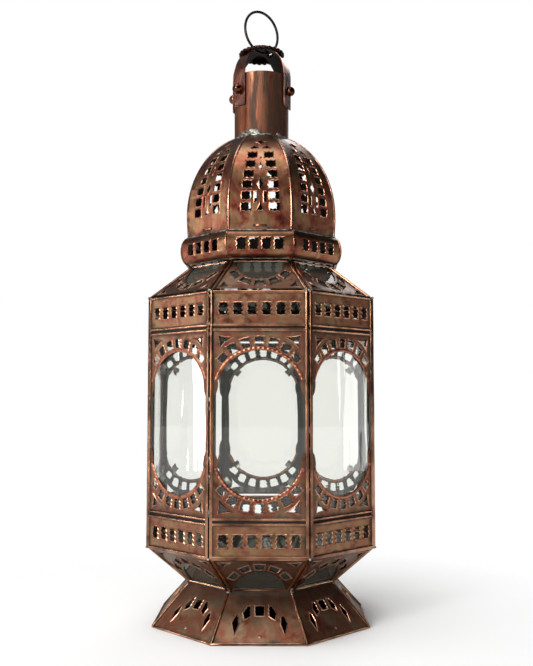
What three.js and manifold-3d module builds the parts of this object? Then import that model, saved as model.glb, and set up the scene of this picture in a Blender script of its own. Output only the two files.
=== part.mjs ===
// An eight-sided Moroccan candle lantern of pierced copper sheet and clear glass.
// Millimetres, +Z up, the front face looks towards -Y, and the origin is at the middle of the base.
import * as THREE from "three";
import { mergeVertices } from "three/addons/utils/BufferGeometryUtils.js";
import Module from "manifold-3d";

const wasm = await Module();
wasm.setup();

// The eight sides, anticlockwise seen from above, starting with the front.
const SIDE_NAMES = [
  "front", "front_right", "right", "back_right", "back", "back_left", "left", "front_left",
];
const DOOR_SIDE = "back";
const SIDE_COUNT = SIDE_NAMES.length;
const TURN = (2 * Math.PI) / SIDE_COUNT;

// Widths across the flats of each level
const FOOT_ACROSS = 223;
const WAIST_ACROSS = 152;
const BODY_ACROSS = 236.5;
const SHOULDER_ACROSS = 148.2;
const COLLAR_ACROSS = 171.4;
const DOME_FOOT_ACROSS = 157;
const DOME_ACROSS = 159;

// Heights of each level
const FOOT_HEIGHT = 42.5;
const TAPER_HEIGHT = 39.4;
const LOWER_BAND = 33.8;
const WINDOW_HEIGHT = 184.4;
const UPPER_BAND = 35.5;
const RAIL_GAP = 2;
const ROOF_HEIGHT = 37.4;
const COLLAR_HEIGHT = 28.7;
const DOME_SKIRT = 17.6;
const DOME_RISE = 98;
const FLUE_RIM = 186;

// Sheet, glass and the channel frames that hold them
const SHEET = 0.8;
const PLATE = 1;
const GLASS = 2;
const CAME_WIDTH = 3.6;
const CAME_DEPTH = 2.4;
const CORNER_GROOVE = 0.9;
const GLASS_LAP = 1.2;
const FUSE = 0.4;
const GAP = 0.3;
const MERGE = 0.01;

// Pierced work of the window arches
const ARCH_CLEARANCE = 2.5;
const ARCH_CROWN = 17.3;
const ARCH_BAND = 4.4;
const ARCH_OPENING = 9.4;
const ARCH_BAR = 4.1;
const ARCH_PITCH = 15.3 * (Math.PI / 180);
const ARCH_OPENINGS = 7;
const ARCH_END_SHARE = 0.7;
const ARCH_HALF_TURN = 84 * (Math.PI / 180);
const ARCH_STEPS = 8;

// Pierced work of the bands
const BAND_OPENINGS = 6;
const BAND_END = 2.5;
const BAND_BAR = 5.3;
const BAND_OPENING_HEIGHT = 10.4;

// Pierced work of the sloping glazed panels
const OVAL_SIDE = 3;
const OVAL_CROWN = 6;
const OVAL_BAND = 3;
const OVAL_OPENING_SIDE = 7;
const OVAL_OPENING_TOP = 9.6;
const OVAL_PITCH = 27 * (Math.PI / 180);
const OVAL_OPENING_SPREAD = 8.5 * (Math.PI / 180);
const OVAL_OPENINGS = 5;
const OVAL_STEPS = 6;

// Pierced work and rim of the foot
const FOOT_LIP = 4;
const FOOT_RIM_HEIGHT = 2.6;
const FOOT_RIM_WIDTH = 2.4;
const FAN_FOOT = 8.4;
const FAN_CROWN = 14.3;
const FAN_OPENING_TOP = 10.3;
const FAN_OPENING_SIDE = 7.1;
const FAN_PITCH = 29 * (Math.PI / 180);
const FAN_SPREAD = 9.2 * (Math.PI / 180);
const FAN_OPENINGS = 5;

// Pierced work and rims of the collar
const COLLAR_LIP = 3;
const COLLAR_OPENINGS = 4;
const COLLAR_END = 7.3;
const COLLAR_BAR = 4.8;
const COLLAR_OPENING_HEIGHT = 9.4;
const COLLAR_ARC_STEPS = 3;

// Pierced work of the dome petals
const ROW_PITCH = 12.4;
const ROW_HEIGHT = 7.8;
const ROW_WIDTH = 10.2;
const ROW_NARROWING = 0.16;
const COLUMN_EDGES = [16.7, 17.7, 17.8, 17.7, 17.8, 18.2];

// Flue, strap cage, rosette and hanging ring
const FLUE_RADIUS = 30.3;
const FLUE_LAP = 8;
const STRAP = 0.8;
const STRAP_WIDTH = 19;
const STRAP_DROP = 36;
const STRAP_RIVET_DROP = 17.5;
const CROWN_RISE = 34.85;
const CROWN_STEPS = 5;
const RING_STRAP_ANGLE = 130 * (Math.PI / 180);
const SIDE_STRAP_ANGLE = 68 * (Math.PI / 180);
const RIVET_RADIUS = 1.5;
const RIVET_HEAD_RADIUS = 5;
const RIVET_HEAD_HEIGHT = 4.2;
const RIVET_HEAD_STEPS = 2;
const RIVET_TAIL = 1.2;
const ROSETTE_RADIUS = 25;
const ROSETTE_RINGS = [0, 0.4, 0.72, 1];
const ROSETTE_LOBE_COUNT = 24;
const ROSETTE_LOBE_DEPTH = 0.9;
const ROSETTE_LIFT = 2;
const ROSETTE_SPREAD = 4.7;
const RING_RADIUS = 23.5;
const RING_WIRE = 1.45;
const RING_CLEARANCE = 1.6;
const RING_SLOT_NEAR = 3.2;
const RING_SLOT_FAR = 16;
const RING_SLOT_WIDTH = 9.2;
const RING_SLOT_CORNER = 0.8;

// Floor and candle cup
const CUP_RADIUS = 22;
const CUP_HEIGHT = 18;

// Door, its hinge wire and its turn catch
const HINGE_INSET = 1.8;
const HINGE_STANDOFF = 1.7;
const HINGE_WIRE = 0.9;
const HINGE_BORE = 1.25;
const HINGE_BARREL = 2.1;
const HINGE_KNUCKLE = 10;
const HINGE_EYE = 7;
const HINGE_KNUCKLE_MARGIN = 6;
const HINGE_HEAD = 1.75;
const HINGE_HEAD_LENGTH = 1.2;
const CATCH_OFFSET = 20;
const CATCH_LENGTH = 15;
const CATCH_WIDTH = 6;
const CATCH_THICKNESS = 1;
const CATCH_SEAT = 0.4;
const CATCH_TAPER = 2;
const CATCH_POST = 1.2;
const CATCH_HEAD = 2.6;
const CATCH_HEAD_THICKNESS = 0.9;

const FACETS = 24;
const SMALL_FACETS = 8;

// Levels worked out from the heights
const WAIST_Z = FOOT_HEIGHT;
const BODY_Z = WAIST_Z + TAPER_HEIGHT;
const LOWER_BAND_TOP = BODY_Z + LOWER_BAND;
const WINDOW_Z = LOWER_BAND_TOP + RAIL_GAP;
const WINDOW_TOP = WINDOW_Z + WINDOW_HEIGHT;
const UPPER_BAND_Z = WINDOW_TOP + RAIL_GAP;
const EAVES_Z = UPPER_BAND_Z + UPPER_BAND;
const SHOULDER_Z = EAVES_Z + ROOF_HEIGHT;
const DOME_Z = SHOULDER_Z + COLLAR_HEIGHT;
const RIM_Z = DOME_Z + FLUE_RIM;

const halfSide = (apothem) => apothem * Math.tan(TURN / 2);
const cornerRadius = (apothem) => apothem / Math.cos(TURN / 2);
const flipped = (points, height) => points.map(([x, y]) => [x, height - y]);
const range = (count) => [...Array(count).keys()];
const centred = (count) => range(count).map((i) => i - (count - 1) / 2);

// Materials
const metal = (color, roughness) =>
  new THREE.MeshStandardMaterial({ color, roughness, metalness: 1 });
const COPPER = metal(0x9a5a3f, 0.42);
const DARK_COPPER = metal(0x6a4335, 0.5);
const DOME_COPPER = metal(0x82443c, 0.38);
const TINPLATE = metal(0x8f8e88, 0.5);
const IRON = metal(0x2a2725, 0.55);
const CLEAR_GLASS = new THREE.MeshStandardMaterial({
  color: 0xdfe8e2,
  roughness: 0.06,
  metalness: 0,
  transparent: true,
  opacity: 0.35,
});

// A closed geometry as a solid that can be cut and joined.
function solidOf(geometry) {
  const bare = geometry.index ? geometry.toNonIndexed() : geometry.clone();
  bare.deleteAttribute("normal");
  bare.deleteAttribute("uv");
  const merged = mergeVertices(bare, 1e-4);
  const corners = merged.index.array;
  const kept = [];
  for (let i = 0; i < corners.length; i += 3) {
    const [a, b, c] = corners.slice(i, i + 3);
    if (a !== b && b !== c && c !== a) kept.push(a, b, c);
  }
  return new wasm.Manifold(
    new wasm.Mesh({
      numProp: 3,
      vertProperties: merged.attributes.position.array,
      triVerts: new Uint32Array(kept),
    }),
  );
}

function meshOf(name, solid, material) {
  const { vertProperties, triVerts, numProp } = solid.asOriginal().simplify(MERGE).getMesh();
  const positions = new Float32Array(triVerts.length * 3);
  triVerts.forEach((v, i) => {
    positions.set(vertProperties.slice(v * numProp, v * numProp + 3), i * 3);
  });
  const geometry = new THREE.BufferGeometry();
  geometry.setAttribute("position", new THREE.BufferAttribute(positions, 3));
  geometry.computeVertexNormals();
  const mesh = new THREE.Mesh(geometry, material);
  mesh.name = name;
  return mesh;
}

const joined = (solids) => solids.reduce((all, next) => all.add(next));
const without = (solid, cutters) => cutters.reduce((rest, next) => rest.subtract(next), solid);

// A flat plate with openings, from z = front - thickness to z = front.
function plate(outline, openings, thickness, front = 0) {
  const vectors = (points) => points.map(([x, y]) => new THREE.Vector2(x, y));
  const edge = vectors(outline);
  if (THREE.ShapeUtils.isClockWise(edge)) edge.reverse();
  const shape = new THREE.Shape(edge);
  for (const opening of openings) shape.holes.push(new THREE.Path(vectors(opening)));
  const geometry = new THREE.ExtrudeGeometry(shape, { depth: thickness, bevelEnabled: false });
  return geometry.translate(0, 0, front - thickness);
}

// A ring turned about Z from a closed outline of [radius, height] points, anticlockwise.
function turned(outline, segments, start = 0) {
  const points = outline.map(([r, z]) => new THREE.Vector2(r, z));
  points.push(points[0].clone());
  return new THREE.LatheGeometry(points, segments, start).rotateX(Math.PI / 2);
}

// The same, eight-sided with flats to the front, from [apothem, height] points.
const octagonal = (outline) =>
  turned(outline.map(([a, z]) => [cornerRadius(a), z]), SIDE_COUNT, TURN / 2);

// Moves a plate drawn in X and Y onto the front side, leaning outwards as it goes up.
const onSide = (geometry, apothem, z, lean = 0) =>
  geometry.rotateX(Math.PI / 2 + lean).translate(0, -apothem, z);

// The eighth of the space in front of the axis, held back from its neighbours by half the gap.
function sector(low, high) {
  const apex = GAP / 2 / Math.sin(TURN / 2);
  const reach = BODY_ACROSS;
  const half = (reach - apex) * Math.tan(TURN / 2);
  const outline = [[0, -apex], [-half, -reach], [half, -reach]];
  return solidOf(plate(outline, [], high - low, high));
}

// Copies of the front side's solids, one set to each side.
const onEverySide = (solids) =>
  range(SIDE_COUNT).flatMap((k) => solids.map((solid) => solid.rotate([0, 0, (k * 360) / SIDE_COUNT])));

const box = (width, height, x, y) => [
  [x - width / 2, y - height / 2],
  [x + width / 2, y - height / 2],
  [x + width / 2, y + height / 2],
  [x - width / 2, y + height / 2],
];

// Points of an ellipse arc about the origin, with angles from the +Y direction.
const arc = (across, up, from, to, steps) =>
  range(steps + 1).map((i) => {
    const angle = from + ((to - from) * i) / steps;
    return [across * Math.sin(angle), up * Math.cos(angle)];
  });

const raised = (points, height) => points.map(([x, y]) => [x, y + height]);

// Window arches

const BODY_APOTHEM = BODY_ACROSS / 2;
const FRAME_HALF = halfSide(BODY_APOTHEM) - CORNER_GROOVE;
const LIGHT_HALF = FRAME_HALF - CAME_WIDTH;
const ARCH_RADIUS = LIGHT_HALF - ARCH_CLEARANCE;
const ARCH_OPENING_WIDTH = ARCH_PITCH * (ARCH_RADIUS + ARCH_BAND) - ARCH_BAR;
const BAND_PITCH = (2 * (LIGHT_HALF - BAND_END)) / BAND_OPENINGS;
const BAND_OPENING_WIDTH = BAND_PITCH - BAND_BAR;

// The sheet round one arch, with the arch's centre at the origin and its head upwards.
function archSheet() {
  const top = ARCH_RADIUS + ARCH_CROWN;
  const side = LIGHT_HALF + FUSE;
  const outline = [
    [side, top + FUSE],
    [-side, top + FUSE],
    [-side, 0],
    ...arc(ARCH_RADIUS, ARCH_RADIUS, -ARCH_HALF_TURN, ARCH_HALF_TURN, ARCH_STEPS),
    [side, 0],
  ];
  const inner = ARCH_RADIUS + ARCH_BAND;
  const openings = centred(ARCH_OPENINGS).map((i) => {
    const atEnd = Math.abs(i) === (ARCH_OPENINGS - 1) / 2;
    const outer = inner + ARCH_OPENING * (atEnd ? ARCH_END_SHARE : 1);
    const middle = i * ARCH_PITCH;
    const low = ARCH_OPENING_WIDTH / 2 / inner;
    const high = ARCH_OPENING_WIDTH / 2 / outer;
    return [
      ...arc(inner, inner, middle - low, middle + low, 1),
      ...arc(outer, outer, middle + high, middle - high, 1),
    ];
  });
  return plate(outline, openings, SHEET, SHEET - CAME_DEPTH);
}

// The framed part of a side between two heights: rods, and openings for what they hold.
function sideFrame(low, high, lights) {
  const outline = box(2 * FRAME_HALF, high - low, 0, (low + high) / 2);
  const openings = lights.map(([a, b]) => box(2 * LIGHT_HALF, b - a, 0, (a + b) / 2));
  return solidOf(onSide(plate(outline, openings, CAME_DEPTH), BODY_APOTHEM, 0));
}

const lowerLight = [BODY_Z + CAME_WIDTH, LOWER_BAND_TOP - CAME_WIDTH];
const windowLight = [WINDOW_Z + CAME_WIDTH, WINDOW_TOP - CAME_WIDTH];
const upperLight = [UPPER_BAND_Z + CAME_WIDTH, EAVES_Z - CAME_WIDTH];

function bandSheet([low, high]) {
  const middle = (low + high) / 2;
  const onBody = (points, thickness, front) =>
    solidOf(onSide(plate(points, [], thickness, front), BODY_APOTHEM, 0));
  const outline = box(2 * (LIGHT_HALF + FUSE), high - low + 2 * FUSE, 0, middle);
  const openings = centred(BAND_OPENINGS).map((i) =>
    onBody(box(BAND_OPENING_WIDTH, BAND_OPENING_HEIGHT, i * BAND_PITCH, middle), 3 * SHEET, 0),
  );
  return without(onBody(outline, SHEET, SHEET - CAME_DEPTH), openings);
}

function windowSheets([low, high]) {
  const centre = ARCH_RADIUS + ARCH_CROWN;
  const upper = solidOf(onSide(archSheet(), BODY_APOTHEM, high - centre));
  const lower = solidOf(
    onSide(archSheet().rotateZ(Math.PI), BODY_APOTHEM, low + centre),
  );
  return [upper, lower];
}

// A whole side of the body: two tall rods, the rails, the two bands and the arches.
function wallPanel() {
  const frame = sideFrame(BODY_Z, EAVES_Z, [lowerLight, windowLight, upperLight]);
  const sheets = [bandSheet(lowerLight), bandSheet(upperLight), ...windowSheets(windowLight)];
  return joined([frame, ...sheets]).intersect(sector(BODY_Z + GAP / 2, EAVES_Z - GAP / 2));
}

// A pane lies against the back of the rods round its light.
function pane([low, high]) {
  const outline = box(
    2 * (LIGHT_HALF + GLASS_LAP),
    high - low + 2 * GLASS_LAP,
    0,
    (low + high) / 2,
  );
  return solidOf(onSide(plate(outline, [], GLASS, -CAME_DEPTH - GAP), BODY_APOTHEM, 0));
}

// Door side: sill, door and head in place of one tall panel

const HINGE_X = FRAME_HALF - HINGE_INSET;
const HINGE_Y = -(BODY_APOTHEM + HINGE_STANDOFF);
const CATCH_Z = UPPER_BAND_Z + CAME_WIDTH / 2;

function barrel(low, high) {
  const outline = [[HINGE_BORE, low], [HINGE_BARREL, low], [HINGE_BARREL, high], [HINGE_BORE, high]];
  return solidOf(turned(outline, SMALL_FACETS).translate(HINGE_X, HINGE_Y, 0));
}

const hingeBore = (low, high) =>
  solidOf(
    turned([[0, low], [HINGE_BORE, low], [HINGE_BORE, high], [0, high]], SMALL_FACETS)
      .translate(HINGE_X, HINGE_Y, 0),
  );

function bandPanel(low, high, light, extras) {
  const frame = sideFrame(low, high, [light]);
  const body = joined([frame, bandSheet(light)]).intersect(sector(low, high));
  return joined([body, ...extras]).subtract(hingeBore(low - 1, high + 1));
}

function doorLeaf() {
  const frame = sideFrame(WINDOW_Z, WINDOW_TOP, [windowLight]);
  const sheets = windowSheets(windowLight);
  const body = joined([frame, ...sheets]).intersect(sector(WINDOW_Z, WINDOW_TOP));
  const middle = (WINDOW_Z + WINDOW_TOP) / 2;
  const knuckles = [
    WINDOW_Z + HINGE_KNUCKLE_MARGIN,
    middle - HINGE_KNUCKLE / 2,
    WINDOW_TOP - HINGE_KNUCKLE_MARGIN - HINGE_KNUCKLE,
  ].map((z) => barrel(z, z + HINGE_KNUCKLE));
  return joined([body, ...knuckles]).subtract(hingeBore(WINDOW_Z - 1, WINDOW_TOP + 1));
}

const doorSill = () =>
  bandPanel(BODY_Z + GAP / 2, LOWER_BAND_TOP, lowerLight, [
    barrel(LOWER_BAND_TOP - HINGE_EYE, LOWER_BAND_TOP),
  ]);

function doorHead() {
  const neck = CATCH_SEAT + CATCH_THICKNESS + GAP;
  const top = neck + CATCH_HEAD_THICKNESS;
  const outline = [
    [0, -SHEET],
    [CATCH_POST, -SHEET],
    [CATCH_POST, neck],
    [CATCH_HEAD, neck],
    [CATCH_HEAD, top],
    [0, top],
  ];
  const pin = turned(outline, SMALL_FACETS).rotateX(Math.PI / 2);
  const post = solidOf(pin.translate(-CATCH_OFFSET, -BODY_APOTHEM, CATCH_Z));
  return bandPanel(UPPER_BAND_Z, EAVES_Z - GAP / 2, upperLight, [
    barrel(UPPER_BAND_Z, UPPER_BAND_Z + HINGE_EYE),
    post,
  ]);
}

function turnCatch() {
  const tail = CATCH_WIDTH / 2;
  const outline = [
    ...arc(tail, tail, 0, Math.PI, SMALL_FACETS / 2),
    [CATCH_TAPER - CATCH_LENGTH, -tail],
    [-CATCH_LENGTH, -tail / 2],
    [-CATCH_LENGTH, tail / 2],
    [CATCH_TAPER - CATCH_LENGTH, tail],
  ];
  const bore = CATCH_POST + GAP;
  const eye = arc(bore, bore, 0, 2 * Math.PI, SMALL_FACETS).slice(1);
  const tongue = plate(outline, [eye], CATCH_THICKNESS, CATCH_SEAT + CATCH_THICKNESS);
  return solidOf(onSide(tongue.translate(-CATCH_OFFSET, CATCH_Z, 0), BODY_APOTHEM, 0));
}

function hingeWire() {
  const low = LOWER_BAND_TOP - HINGE_EYE - GAP;
  const high = UPPER_BAND_Z + HINGE_EYE + GAP;
  const outline = [
    [0, low - HINGE_HEAD_LENGTH],
    [HINGE_HEAD, low - HINGE_HEAD_LENGTH],
    [HINGE_HEAD, low],
    [HINGE_WIRE, low],
    [HINGE_WIRE, high],
    [HINGE_HEAD, high],
    [HINGE_HEAD, high + HINGE_HEAD_LENGTH],
    [0, high + HINGE_HEAD_LENGTH],
  ];
  return solidOf(turned(outline, SMALL_FACETS).translate(HINGE_X, HINGE_Y, 0));
}

// Sloping glazed panels: the taper below the body and the roof above it

// A trapezium with its narrow edge at y = 0, drawn in from its sides by an inset.
function trapezium(narrow, wide, slant, inset, low, high) {
  const slope = (wide - narrow) / slant;
  const side = (y) => narrow + slope * y - inset * Math.hypot(1, slope);
  return [[side(low), low], [side(high), high], [-side(high), high], [-side(low), low]];
}

function slopingPanel(narrowAcross, wideAcross, height, upsideDown) {
  const narrow = halfSide(narrowAcross / 2);
  const wide = halfSide(wideAcross / 2);
  const slant = Math.hypot((wideAcross - narrowAcross) / 2, height);
  const lean = Math.atan2((wideAcross - narrowAcross) / 2, height);
  const way = (points) => (upsideDown ? flipped(points, slant) : points);
  const outline = trapezium(narrow, wide, slant, CORNER_GROOVE, 0, slant);
  const inset = CORNER_GROOVE + CAME_WIDTH;
  const top = slant - CAME_WIDTH;
  const light = trapezium(narrow, wide, slant, inset, CAME_WIDTH, top);
  const [[sillHalf], [headHalf]] = trapezium(narrow, wide, slant, inset - FUSE, CAME_WIDTH, top);
  const quarter = Math.PI / 2;
  const across = sillHalf - FUSE - OVAL_SIDE;
  const up = top - CAME_WIDTH - OVAL_CROWN - OVAL_OPENING_TOP - OVAL_BAND;
  const sheetOutline = [
    [sillHalf, CAME_WIDTH - FUSE],
    [headHalf, top + FUSE],
    [-headHalf, top + FUSE],
    [-sillHalf, CAME_WIDTH - FUSE],
    [-across, CAME_WIDTH - FUSE],
    ...raised(arc(across, up, -quarter, quarter, OVAL_STEPS), CAME_WIDTH),
    [across, CAME_WIDTH - FUSE],
  ];
  const innerAcross = across + OVAL_BAND;
  const innerUp = up + OVAL_BAND;
  const outerAcross = innerAcross + OVAL_OPENING_SIDE;
  const outerUp = innerUp + OVAL_OPENING_TOP;
  const openings = centred(OVAL_OPENINGS).map((i) => {
    const from = i * OVAL_PITCH - OVAL_OPENING_SPREAD;
    const to = i * OVAL_PITCH + OVAL_OPENING_SPREAD;
    return raised(
      [...arc(innerAcross, innerUp, from, to, 1), ...arc(outerAcross, outerUp, to, from, 1)],
      CAME_WIDTH,
    );
  });
  const holes = openings.map(way);
  const frame = plate(way(outline), [way(light)], CAME_DEPTH);
  const sheet = plate(way(sheetOutline), holes, SHEET, SHEET - CAME_DEPTH);
  return { frame, sheet, lean: upsideDown ? -lean : lean };
}

function glazedTier(narrowAcross, wideAcross, low, high, upsideDown) {
  const panel = slopingPanel(narrowAcross, wideAcross, high - low, upsideDown);
  const apothem = (upsideDown ? wideAcross : narrowAcross) / 2;
  const placed = (geometry) => solidOf(onSide(geometry, apothem, low, panel.lean));
  return placed(panel.frame).add(placed(panel.sheet)).intersect(sector(low, high));
}

// The eight panes of a sloping tier, meeting behind the frames at the corners.
function glassTier(narrowAcross, wideAcross, low, high, upsideDown) {
  const rise = high - low;
  const run = (wideAcross - narrowAcross) / 2;
  const across = Math.hypot(rise, run) / rise;
  const front = (CAME_DEPTH + GAP) * across;
  const back = front + GLASS * across;
  const margin = (CAME_WIDTH - GLASS_LAP) / across;
  const growth = ((upsideDown ? -1 : 1) * run) / rise;
  const apothemAt = (z) => (upsideDown ? wideAcross : narrowAcross) / 2 + growth * (z - low);
  const bottom = low + margin + (upsideDown ? 0 : GLASS);
  const top = high - margin - (upsideDown ? GLASS : 0);
  return solidOf(
    octagonal([
      [apothemAt(bottom) - back, bottom],
      [apothemAt(bottom) - front, bottom],
      [apothemAt(top) - front, top],
      [apothemAt(top) - back, top],
    ]),
  );
}

// Foot

const FLOOR = PLATE;
const FLOOR_Z = WAIST_Z - FLOOR / 2;
const FOOT_TOP = FLOOR_Z - GAP;
const TAPER_Z = FLOOR_Z + FLOOR + GAP;
const FOOT_APOTHEM = FOOT_ACROSS / 2;
const WAIST_APOTHEM = WAIST_ACROSS / 2;
const FOOT_RUN = FOOT_APOTHEM - WAIST_APOTHEM;

function footSkirt() {
  const slope = FOOT_RUN / FOOT_HEIGHT;
  const wall = PLATE * Math.hypot(1, slope);
  const outside = (z) => FOOT_APOTHEM - slope * z;
  const shell = solidOf(
    octagonal([
      [outside(0) - FOOT_RIM_WIDTH, 0],
      [outside(0), 0],
      [outside(FOOT_TOP), FOOT_TOP],
      [outside(FOOT_TOP) - wall - FOOT_LIP, FOOT_TOP],
      [outside(FOOT_TOP) - wall - FOOT_LIP, FOOT_TOP - PLATE],
      [outside(FOOT_TOP - PLATE) - wall, FOOT_TOP - PLATE],
      [outside(FOOT_RIM_HEIGHT) - wall, FOOT_RIM_HEIGHT],
      [outside(0) - FOOT_RIM_WIDTH, FOOT_RIM_HEIGHT],
    ]),
  );
  const slant = Math.hypot(FOOT_RUN, FOOT_HEIGHT);
  const lean = -Math.atan2(FOOT_RUN, FOOT_HEIGHT);
  const outer = slant - FAN_FOOT - FAN_CROWN;
  const inner = outer - FAN_OPENING_TOP;
  const outerSide = inner + FAN_OPENING_SIDE;
  const fan = centred(FAN_OPENINGS).map((i) => {
    const from = i * FAN_PITCH - FAN_SPREAD;
    const to = i * FAN_PITCH + FAN_SPREAD;
    return [
      ...arc(inner, inner, from, to, 1),
      ...arc(outerSide, outer, to, from, 1),
    ];
  });
  const depth = 4 * PLATE;
  const cutters = fan.map((points) =>
    solidOf(onSide(plate(raised(points, FAN_FOOT), [], depth, depth / 2), FOOT_APOTHEM, 0, lean)),
  );
  return without(shell, onEverySide(cutters));
}

function floorPlate() {
  const reach = WAIST_APOTHEM - PLATE;
  return solidOf(
    octagonal([[0, FLOOR_Z], [reach, FLOOR_Z], [reach, FLOOR_Z + FLOOR], [0, FLOOR_Z + FLOOR]]),
  );
}

function candleCup() {
  const base = FLOOR_Z + FLOOR + GAP;
  const top = base + CUP_HEIGHT;
  const inside = CUP_RADIUS - PLATE;
  const outline = [
    [0, base],
    [CUP_RADIUS, base],
    [CUP_RADIUS, top],
    [inside, top],
    [inside, base + PLATE],
    [0, base + PLATE],
  ];
  return solidOf(turned(outline, FACETS));
}

// Collar: a half-round moulding with a ledge under it and one above it

const SHOULDER_APOTHEM = SHOULDER_ACROSS / 2;
const COLLAR_FLAT = Math.cos(Math.PI / 2 / COLLAR_ARC_STEPS);
const COLLAR_BULGE = (COLLAR_ACROSS - DOME_FOOT_ACROSS) / 2 / COLLAR_FLAT;

function collar() {
  const low = SHOULDER_Z + GAP / 2;
  const high = DOME_Z - GAP / 2;
  const middle = (low + high) / 2;
  const base = DOME_FOOT_ACROSS / 2;
  const across = (inset) =>
    arc(middle - low - inset, COLLAR_BULGE - inset, -Math.PI / 2, Math.PI / 2, COLLAR_ARC_STEPS)
      .map(([up, out]) => [base + out, middle + up]);
  const outer = across(0);
  const inner = across(PLATE).reverse();
  const shell = solidOf(
    octagonal([
      [SHOULDER_APOTHEM - COLLAR_LIP, low],
      ...outer,
      [base - COLLAR_LIP, high],
      [base - COLLAR_LIP, high - PLATE],
      ...inner,
      [SHOULDER_APOTHEM - COLLAR_LIP, low + PLATE],
    ]),
  );
  const pitch = (2 * (halfSide(base) - COLLAR_END)) / COLLAR_OPENINGS;
  const cutters = centred(COLLAR_OPENINGS).map((i) => {
    const outline = box(pitch - COLLAR_BAR, COLLAR_OPENING_HEIGHT, i * pitch, middle);
    return solidOf(onSide(plate(outline, [], 3 * PLATE, PLATE), COLLAR_ACROSS / 2, 0));
  });
  return without(shell, onEverySide(cutters));
}

// Dome: the meridian of a petal as [apothem, height] points, one facet to each row of openings

const DOME_APOTHEM = DOME_ACROSS / 2;
const FIRST_ROW_Z = DOME_Z + DOME_SKIRT;
const SPRING_Z = FIRST_ROW_Z + ROW_PITCH / 2;

function meridian() {
  const points = [
    [DOME_FOOT_ACROSS / 2, DOME_Z + GAP / 2],
    [DOME_APOTHEM, FIRST_ROW_Z],
    [DOME_APOTHEM, SPRING_Z + ROW_PITCH / 2],
  ];
  let angle = Math.atan2(ROW_PITCH / 2, DOME_RISE);
  const at = (t) => [DOME_APOTHEM * Math.cos(t), SPRING_Z + DOME_RISE * Math.sin(t)];
  while (at(angle)[0] > FLUE_RADIUS - PLATE) {
    const step = ROW_PITCH / Math.hypot(DOME_APOTHEM * Math.sin(angle), DOME_RISE * Math.cos(angle));
    angle += step;
    points.push(at(angle));
  }
  return points;
}

const MERIDIAN = meridian();

// The facet of the petal from one meridian point to the next: its middle and lean.
function facet(index) {
  const [a, b] = [MERIDIAN[index], MERIDIAN[index + 1]];
  return {
    apothem: (a[0] + b[0]) / 2,
    z: (a[1] + b[1]) / 2,
    lean: -Math.atan2(a[0] - b[0], b[1] - a[1]),
  };
}

// Two columns of openings, drawn in towards the crown. The first facet is the plain skirt.
const petalOpenings = () =>
  COLUMN_EDGES.flatMap((edge, row) => {
    const offset = halfSide(facet(row + 1).apothem) - edge;
    const width = ROW_WIDTH - ROW_NARROWING * row;
    return [offset, -offset].map((x) => [row + 1, box(width, ROW_HEIGHT, x, 0)]);
  });

function domePetal() {
  const inward = MERIDIAN.map((point, i) => {
    const before = facet(Math.max(i - 1, 0)).lean;
    const after = facet(Math.min(i, MERIDIAN.length - 2)).lean;
    const lean = (before + after) / 2;
    const thickness = PLATE / Math.cos((after - before) / 2);
    return [point[0] - thickness * Math.cos(lean), point[1] + thickness * Math.sin(lean)];
  });
  inward[0][1] = MERIDIAN[0][1];
  const outline = [...MERIDIAN, ...inward.reverse()].map(([a, z]) => [-a, z]);
  const width = BODY_ACROSS;
  const swept = plate(outline, [], width, width / 2);
  // The outline's X becomes the depth, its Y the height and its extrusion the width.
  swept.applyMatrix4(
    new THREE.Matrix4().makeBasis(
      new THREE.Vector3(0, 1, 0),
      new THREE.Vector3(0, 0, 1),
      new THREE.Vector3(1, 0, 0),
    ),
  );
  const depth = 5 * PLATE;
  const cutters = petalOpenings().map(([index, points]) => {
    const { apothem, z, lean } = facet(index);
    return solidOf(onSide(plate(points, [], depth, depth / 2), apothem, z, lean));
  });
  const flue = (FLUE_RADIUS + GAP) / Math.cos(Math.PI / FACETS);
  const passage = solidOf(
    turned([[0, DOME_Z], [flue, DOME_Z], [flue, RIM_Z], [0, RIM_Z]], FACETS),
  );
  return without(solidOf(swept), [...cutters, passage]).intersect(sector(DOME_Z, RIM_Z));
}

// Flue

const DOME_TOP = SPRING_Z + DOME_RISE * Math.sqrt(1 - (FLUE_RADIUS / DOME_APOTHEM) ** 2);
const RIVET_Z = RIM_Z - STRAP_RIVET_DROP;

function flueTube() {
  const inside = FLUE_RADIUS - PLATE;
  const low = DOME_TOP - FLUE_LAP;
  const tube = solidOf(
    turned(
      [
        [inside, low],
        [FLUE_RADIUS, low],
        [FLUE_RADIUS, RIM_Z],
        [inside, RIM_Z],
      ],
      FACETS,
    ),
  );
  return without(tube, rivetHoles());
}

// Strap cage: two bands over the flue that cross at its crown, in one piece

const CROWN_Z = RIM_Z + CROWN_RISE;
const STRAP_INSIDE = FLUE_RADIUS + GAP;

// How far a crown has dropped at a distance from the axis.
const crownDrop = (radius, reach) =>
  CROWN_RISE * (1 - Math.sqrt(Math.max(0, 1 - (radius / reach) ** 2)));

function strapLine(reach, crown) {
  return range(2 * CROWN_STEPS + 1).map((i) => {
    const x = reach * Math.sin(((i - CROWN_STEPS) * Math.PI) / 2 / CROWN_STEPS);
    return [x, crown - crownDrop(Math.abs(x), reach)];
  });
}

// A strap along the given heading: the angle from the front towards the right.
function strap(angle) {
  const foot = RIM_Z - STRAP_DROP;
  const outline = [
    [-STRAP_INSIDE - STRAP, foot],
    ...strapLine(STRAP_INSIDE + STRAP, CROWN_Z + STRAP),
    [STRAP_INSIDE + STRAP, foot],
    [STRAP_INSIDE, foot],
    ...strapLine(STRAP_INSIDE, CROWN_Z).reverse(),
    [-STRAP_INSIDE, foot],
  ];
  const band = plate(outline, [], STRAP_WIDTH, STRAP_WIDTH / 2).rotateX(Math.PI / 2);
  return solidOf(band.rotateZ(angle - Math.PI / 2));
}

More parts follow.
